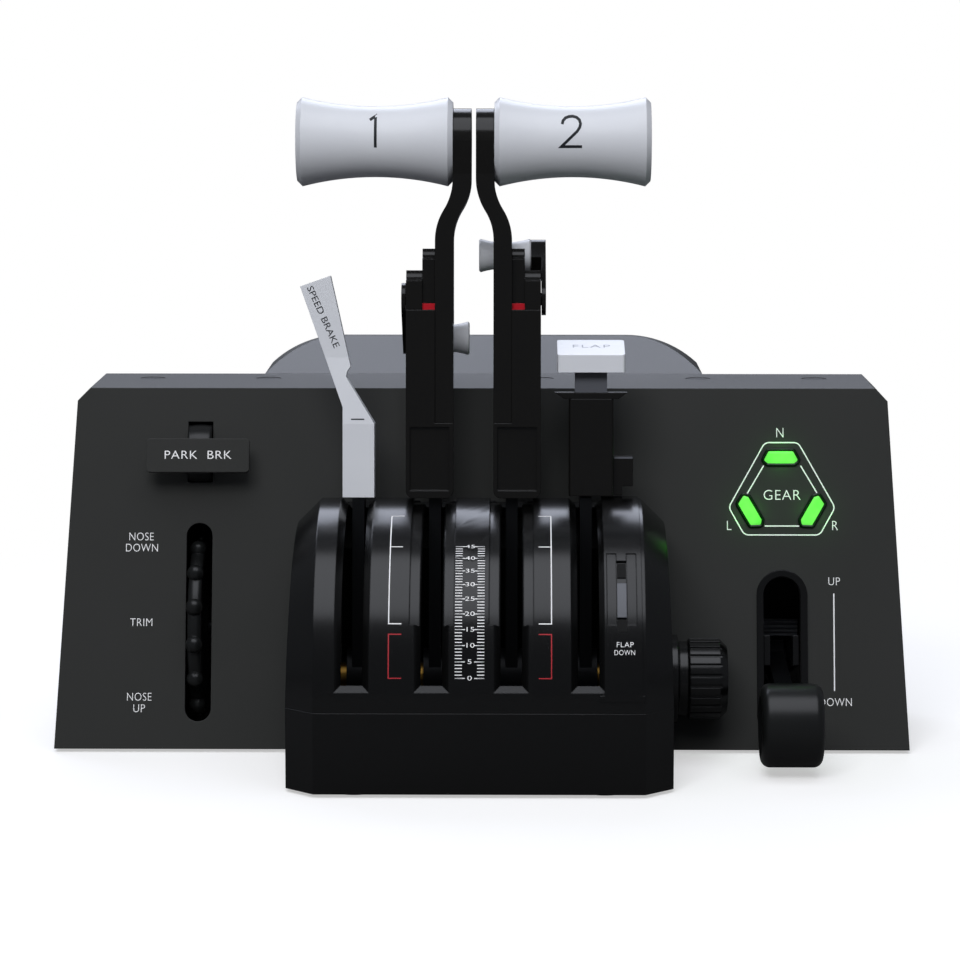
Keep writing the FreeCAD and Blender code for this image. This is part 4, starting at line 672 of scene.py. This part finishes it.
wheelLow, wheelHigh = (Vector(corner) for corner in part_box("gear_wheel"))
wheelMiddle = (wheelLow + wheelHigh) / 2
gearLook = {"half": 12.0, "radius": 16.2, "shoulder": 3.6, "dish": 2.2, "dishRadius": 11.5, "dishWall": 1.2,
            "navel": 0.4, "arcSteps": 8}
profile = []
for side in (-1, 1):
    corner = []
    for step in range(gearLook["arcSteps"] + 1):
        angle = math.radians(90 * step / gearLook["arcSteps"])
        corner.append((side * (gearLook["half"] - gearLook["shoulder"] * (1 - math.cos(angle))),
                       gearLook["radius"] - gearLook["shoulder"] * (1 - math.sin(angle))))
    dish = [(side * (gearLook["half"] - gearLook["dish"]), gearLook["navel"]),
            (side * (gearLook["half"] - gearLook["dish"]), gearLook["dishRadius"] - gearLook["dishWall"]),
            (side * gearLook["half"], gearLook["dishRadius"])]
    profile += dish + corner if side < 0 else (dish + corner)[::-1]
gearGrip = addPiece("gear_wheel_round", spun(profile, 128, wheelMiddle), "gripAbsGraphite", "gear_lever")
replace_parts(gearGrip, "gear_wheel")
print("gear wheel")

# ---- park brake spring, a curved strip crowned across its width

drumLow, drumHigh = (Vector(corner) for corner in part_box("park_brake_drum"))
drumAxis = Vector(next(j["pos_m"] for j in frame["joints"] if j["name"] == "park_brake_hinge"))
drumAxis.yz = (drumLow.yz + drumHigh.yz) / 2
drumRadius = (drumHigh.z - drumLow.z) / 2 / mm
drumLook = {"half": 4.6, "crown": 0.4, "steps": 12, "bore": 1.6}
profile = [(-drumLook["half"], drumLook["bore"])]
for step in range(drumLook["steps"] + 1):
    x = -1 + 2 * step / drumLook["steps"]
    profile.append((drumLook["half"] * x, drumRadius - drumLook["crown"] * x * x))
profile.append((drumLook["half"], drumLook["bore"]))
drum = addPiece("park_brake_spring", spun(profile, 96, drumAxis), "gripAbsGraphite", "park_brake")
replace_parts(drum, "park_brake_drum")
print("park brake spring")

# ---- lamps of the gear display: rounded collar and faceted lens


def grow(points, amount):
    # move the edges of a convex outline outwards; the outline runs anticlockwise
    result = []
    for i, point in enumerate(points):
        corner, before, after = Vector(point), Vector(points[i - 1]), Vector(points[(i + 1) % len(points)])
        first, second = (corner - before).normalized(), (after - corner).normalized()
        one, two = Vector((first.y, -first.x)), Vector((second.y, -second.x))
        result.append(tuple(corner + (one + two) * (amount / (1 + one.dot(two)))))
    return result


def stacked(loops, capped):
    # skin through outlines of (points, height), in millimetres, closed at the top where capped
    work = bmesh.new()
    rows = [[work.verts.new((x * mm, y * mm, height * mm)) for x, y in points] for points, height in loops]
    count = len(rows[0])
    for lower, upper in zip(rows, rows[1:]):
        for i in range(count):
            work.faces.new((lower[i], lower[(i + 1) % count], upper[(i + 1) % count], upper[i]))
    if capped:
        work.faces.new(rows[-1])
    mesh = bpy.data.meshes.new("stack")
    work.to_mesh(mesh)
    work.free()
    return mesh


lampLook = {
    "middle": (120.0, 102.8), "reach": 14.65,
    # half of the lens outline, from the wide end, with y pointing away from the middle
    "half": [(5.3, -2.5), (6.8, -1.2), (4.9, 2.4)], "corner": 0.7,
    "lensProud": 0.75, "facet": 0.9, "collar": 1.25, "collarProud": 0.9,
}
outline = lampLook["half"] + [(-x, y) for x, y in lampLook["half"][::-1]]
lensLine = roundCorners(outline, lampLook["corner"], 4)
collarLine = roundCorners(grow(outline, lampLook["collar"]), lampLook["corner"] + lampLook["collar"], 4)
insideLine = roundCorners(grow(outline, -lampLook["facet"]), lampLook["corner"] / 2, 4)
ridgeLine = [((x1 + x2) / 2, (y1 + y2) / 2) for (x1, y1), (x2, y2) in zip(collarLine, lensLine)]
collars = []
for lens, turn in (("gear_lens_nose", 0), ("gear_lens_left", 120), ("gear_lens_right", 240)):
    spin = Matrix.Rotation(math.radians(turn), 4, "Z")
    here = panelFrame(*lampLook["middle"]) @ spin @ Matrix.Translation((0, lampLook["reach"] * mm, 0))
    shape = stacked([(lensLine, 0.05), (lensLine, lampLook["lensProud"] * 0.5),
                     (insideLine, lampLook["lensProud"])], True)
    shape.transform(here)
    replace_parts(addPiece(lens + "_facets", shape, "litAcrylicGreen", "base"), lens)
    ring = stacked([(collarLine, 0.0), (collarLine, lampLook["collarProud"] * 0.5),
                    (ridgeLine, lampLook["collarProud"]), (lensLine, lampLook["collarProud"] * 0.6),
                    (lensLine, 0.05)], False)
    collars.append((ring, here))
# the collars carry painted green glow from the lenses
collarPiece = addPiece("lamp_collars", joinMeshes("lamp_collars", collars), "collarPaintedGlowGreen", "base")
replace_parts(collarPiece, "lamp_bezels")
print("gear lamps")

# ---- slide of the flap gate with bands of painted shade below and above it, and pale ribs behind the gear slot


def arcBar(left, right, low, high, inner, outer):
    # block that follows the cover between two radii in metres; x in millimetres, angles in degrees
    steps = max(1, round((high - low) / 2))
    work = bmesh.new()
    rows = []
    for i in range(steps + 1):
        angle = math.radians(low + (high - low) * i / steps)
        rows.append([work.verts.new((x * mm, pivot.y - r * math.cos(angle), pivot.z + r * math.sin(angle)))
                     for x, r in ((left, inner), (left, outer), (right, outer), (right, inner))])
    for lower, upper in zip(rows, rows[1:]):
        for i in range(4):
            work.faces.new((lower[i], upper[i], upper[(i + 1) % 4], lower[(i + 1) % 4]))
    work.faces.new(rows[0])
    work.faces.new(rows[-1][::-1])
    bmesh.ops.recalc_face_normals(work, faces=work.faces)
    mesh = bpy.data.meshes.new("bar")
    work.to_mesh(mesh)
    work.free()
    return mesh


def brick(low, high):
    work = bmesh.new()
    bmesh.ops.create_cube(work, size=1)
    mesh = bpy.data.meshes.new("brick")
    work.to_mesh(mesh)
    work.free()
    sizes = [(b - a) * mm for a, b in zip(low, high)]
    middle = Vector([(a + b) / 2 * mm for a, b in zip(low, high)])
    mesh.transform(Matrix.Translation(middle) @ Matrix.Diagonal((*sizes, 1)))
    return mesh


gateSlide = {"left": 51.8, "right": 55.4, "low": 29.2, "high": 40.5, "lift": 0.35, "sink": 0.6}
addPiece("gate_slide", arcBar(gateSlide["left"], gateSlide["right"], gateSlide["low"], gateSlide["high"],
                              gateRadius - gateSlide["sink"] * mm, gateRadius + gateSlide["lift"] * mm),
         "satinAbsGrey", "base")
# black bands of painted shade on the gate: the lower one is the shade under the slide's end, the upper one
# stands for the dark of a notch recess
gateShadeBands = {"left": 51.9, "right": 55.3, "angles": ((42.6, 47.8), (24.8, 28.6)), "sink": 0.2}
shadeBands = [arcBar(gateShadeBands["left"], gateShadeBands["right"], low, high, gateRadius - gateShadeBands["sink"] * mm,
                gateRadius + inkLift * mm) for low, high in gateShadeBands["angles"]]
addPiece("gate_painted_shade", joinMeshes("gate_painted_shade", shadeBands), "mattRubberBlackAndPaintedShade", "base")

slotRibs = {"left": 113.0, "right": 130.0, "front": 30.9, "plateFront": 32.5, "plateBack": 33.5,
            "plateLow": 37.0, "plateHigh": 44.0, "ribLows": (38.9, 40.6, 42.4), "ribThick": 0.6}
slotBits = [brick((slotRibs["left"], slotRibs["front"], low),
                  (slotRibs["right"], slotRibs["plateFront"], low + slotRibs["ribThick"]))
            for low in slotRibs["ribLows"]]
slotBits.append(brick((slotRibs["left"], slotRibs["plateFront"], slotRibs["plateLow"]),
                      (slotRibs["right"], slotRibs["plateBack"], slotRibs["plateHigh"])))
addPiece("gear_slot_ribs", joinMeshes("gear_slot_ribs", slotBits), "satinAbsGrey", "base")
print("gate and slot details")

# ---- camera, paper background and lamps

camera = bpy.data.objects.new("camera", bpy.data.cameras.new("camera"))
scene.collection.objects.link(camera)
camera.data.lens = 135
camera.data.sensor_width = 36
camera.data.clip_end = 100
camera.location = (0.0142, -1.4362, 0.2967)
camera.rotation_euler = (math.radians(82.44), 0, math.radians(0.6))
scene.camera = camera

studio = {
    "paperTone": 0.6, "floorGlow": 0.5,      # paper as seen: open floor reads white and the shadow stays
    "whiteFrom": 0.25, "whiteFull": 0.55,    # metres from the middle where the paper turns plain white
    "returned": 0.12,                        # how much light the floor gives back to the object
    "skyTone": (0.85, 0.9, 1.0), "skyStrength": 0.12,
}
floorMaterial, tree = newMaterial("paleFloor")
ray = addNode(tree, "ShaderNodeLightPath")
place = addNode(tree, "ShaderNodeTexCoord")
away = addNode(tree, "ShaderNodeVectorMath", {"operation": "LENGTH"}, {0: (place, "Object")})
outer = addNode(tree, "ShaderNodeMapRange",
                {"interpolation_type": "SMOOTHSTEP", "From Min": studio["whiteFrom"],
                 "From Max": studio["whiteFull"]}, {"Value": (away, "Value")})
paper = addNode(tree, "ShaderNodeBsdfDiffuse", {"Color": (*[studio["paperTone"]] * 3, 1)})
shine = addNode(tree, "ShaderNodeEmission", {"Color": (1, 1, 1, 1), "Strength": studio["floorGlow"]})
lit = addNode(tree, "ShaderNodeAddShader", {}, {0: (paper, "BSDF"), 1: (shine, "Emission")})
plain = addNode(tree, "ShaderNodeEmission", {"Color": (1, 1, 1, 1), "Strength": 1.0})
shown = addNode(tree, "ShaderNodeMixShader", {},
                {0: (outer, "Result"), 1: (lit, "Shader"), 2: (plain, "Emission")})
giving = addNode(tree, "ShaderNodeBsdfDiffuse", {"Color": (*[studio["returned"]] * 3, 1)})
blend = addNode(tree, "ShaderNodeMixShader", {}, {0: (ray, "Is Camera Ray"), 1: (giving, "BSDF"),
                                                  2: (shown, "Shader")})
addNode(tree, "ShaderNodeOutputMaterial", {}, {"Surface": (blend, "Shader")})
floorMesh = bpy.data.meshes.new("floor")
floorMesh.from_pydata([(-30, -30, 0), (30, -30, 0), (30, 30, 0), (-30, 30, 0)], [], [(0, 1, 2, 3)])
floorMesh.materials.append(floorMaterial)
floor = bpy.data.objects.new("floor", floorMesh)
scene.collection.objects.link(floor)

world = bpy.data.worlds.new("studio")
scene.world = world
world.use_nodes = True
tree = world.node_tree
tree.nodes.clear()
ray = addNode(tree, "ShaderNodeLightPath")
seen = addNode(tree, "ShaderNodeMath", {"operation": "MAXIMUM"},
               {0: (ray, "Is Camera Ray"), 1: (ray, "Is Transmission Ray")})
soft = addNode(tree, "ShaderNodeBackground",
               {"Color": (*studio["skyTone"], 1), "Strength": studio["skyStrength"]})
white = addNode(tree, "ShaderNodeBackground", {"Color": (1, 1, 1, 1), "Strength": 1.0})
blend = addNode(tree, "ShaderNodeMixShader", {},
                {0: (seen, "Value"), 1: (soft, "Background"), 2: (white, "Background")})
addNode(tree, "ShaderNodeOutputWorld", {}, {"Surface": (blend, "Shader")})

lamps = {
    # the back box draws the pale crests, the top box the upper faces, the fill only lights evenly;
    # metres and watts
    "back": {"place": (-0.45, 1.7, 1.6), "target": (0, 0, 0.1), "size": (2.4, 1.3), "watts": 31,
             "colour": "#e8eeff", "mirrored": True},
    "top": {"place": (0.0, -0.6, 1.7), "target": (0, 0, 0.1), "size": (1.8, 1.5), "watts": 13,
            "colour": "#f4f7ff", "mirrored": True},
    "fill": {"place": (-0.3, -1.9, 1.5), "target": (0, 0, 0.12), "size": (1.2, 0.8), "watts": 32,
             "colour": "#fbfcff", "mirrored": False},
}
for name, look in lamps.items():
    light = bpy.data.lights.new(name, "AREA")
    light.shape = "RECTANGLE"
    light.size, light.size_y = look["size"]
    light.energy = look["watts"]
    light.color = hexToLinear(look["colour"])[:3]
    lamp = bpy.data.objects.new(name, light)
    scene.collection.objects.link(lamp)
    lamp.location = look["place"]
    lamp.rotation_euler = (Vector(look["target"]) - Vector(look["place"])).to_track_quat("-Z", "Y").to_euler()
    lamp.visible_glossy = look["mirrored"]

glow = {"proud": 4.0, "watts": 0.0035, "radius": 2.5}
for turn in (0, 120, 240):
    light = bpy.data.lights.new("lens_glow", "POINT")
    light.energy = glow["watts"]
    light.shadow_soft_size = glow["radius"] * mm
    light.color = hexToLinear("#4ee63c")[:3]
    lamp = bpy.data.objects.new("lens_glow", light)
    scene.collection.objects.link(lamp)
    spin = Matrix.Rotation(math.radians(turn), 4, "Z")
    lamp.location = (panelFrame(*lampLook["middle"], glow["proud"]) @ spin
                     @ Vector((0, lampLook["reach"] * mm, 0)))
    lamp.visible_glossy = False
print("camera, floor and lights")
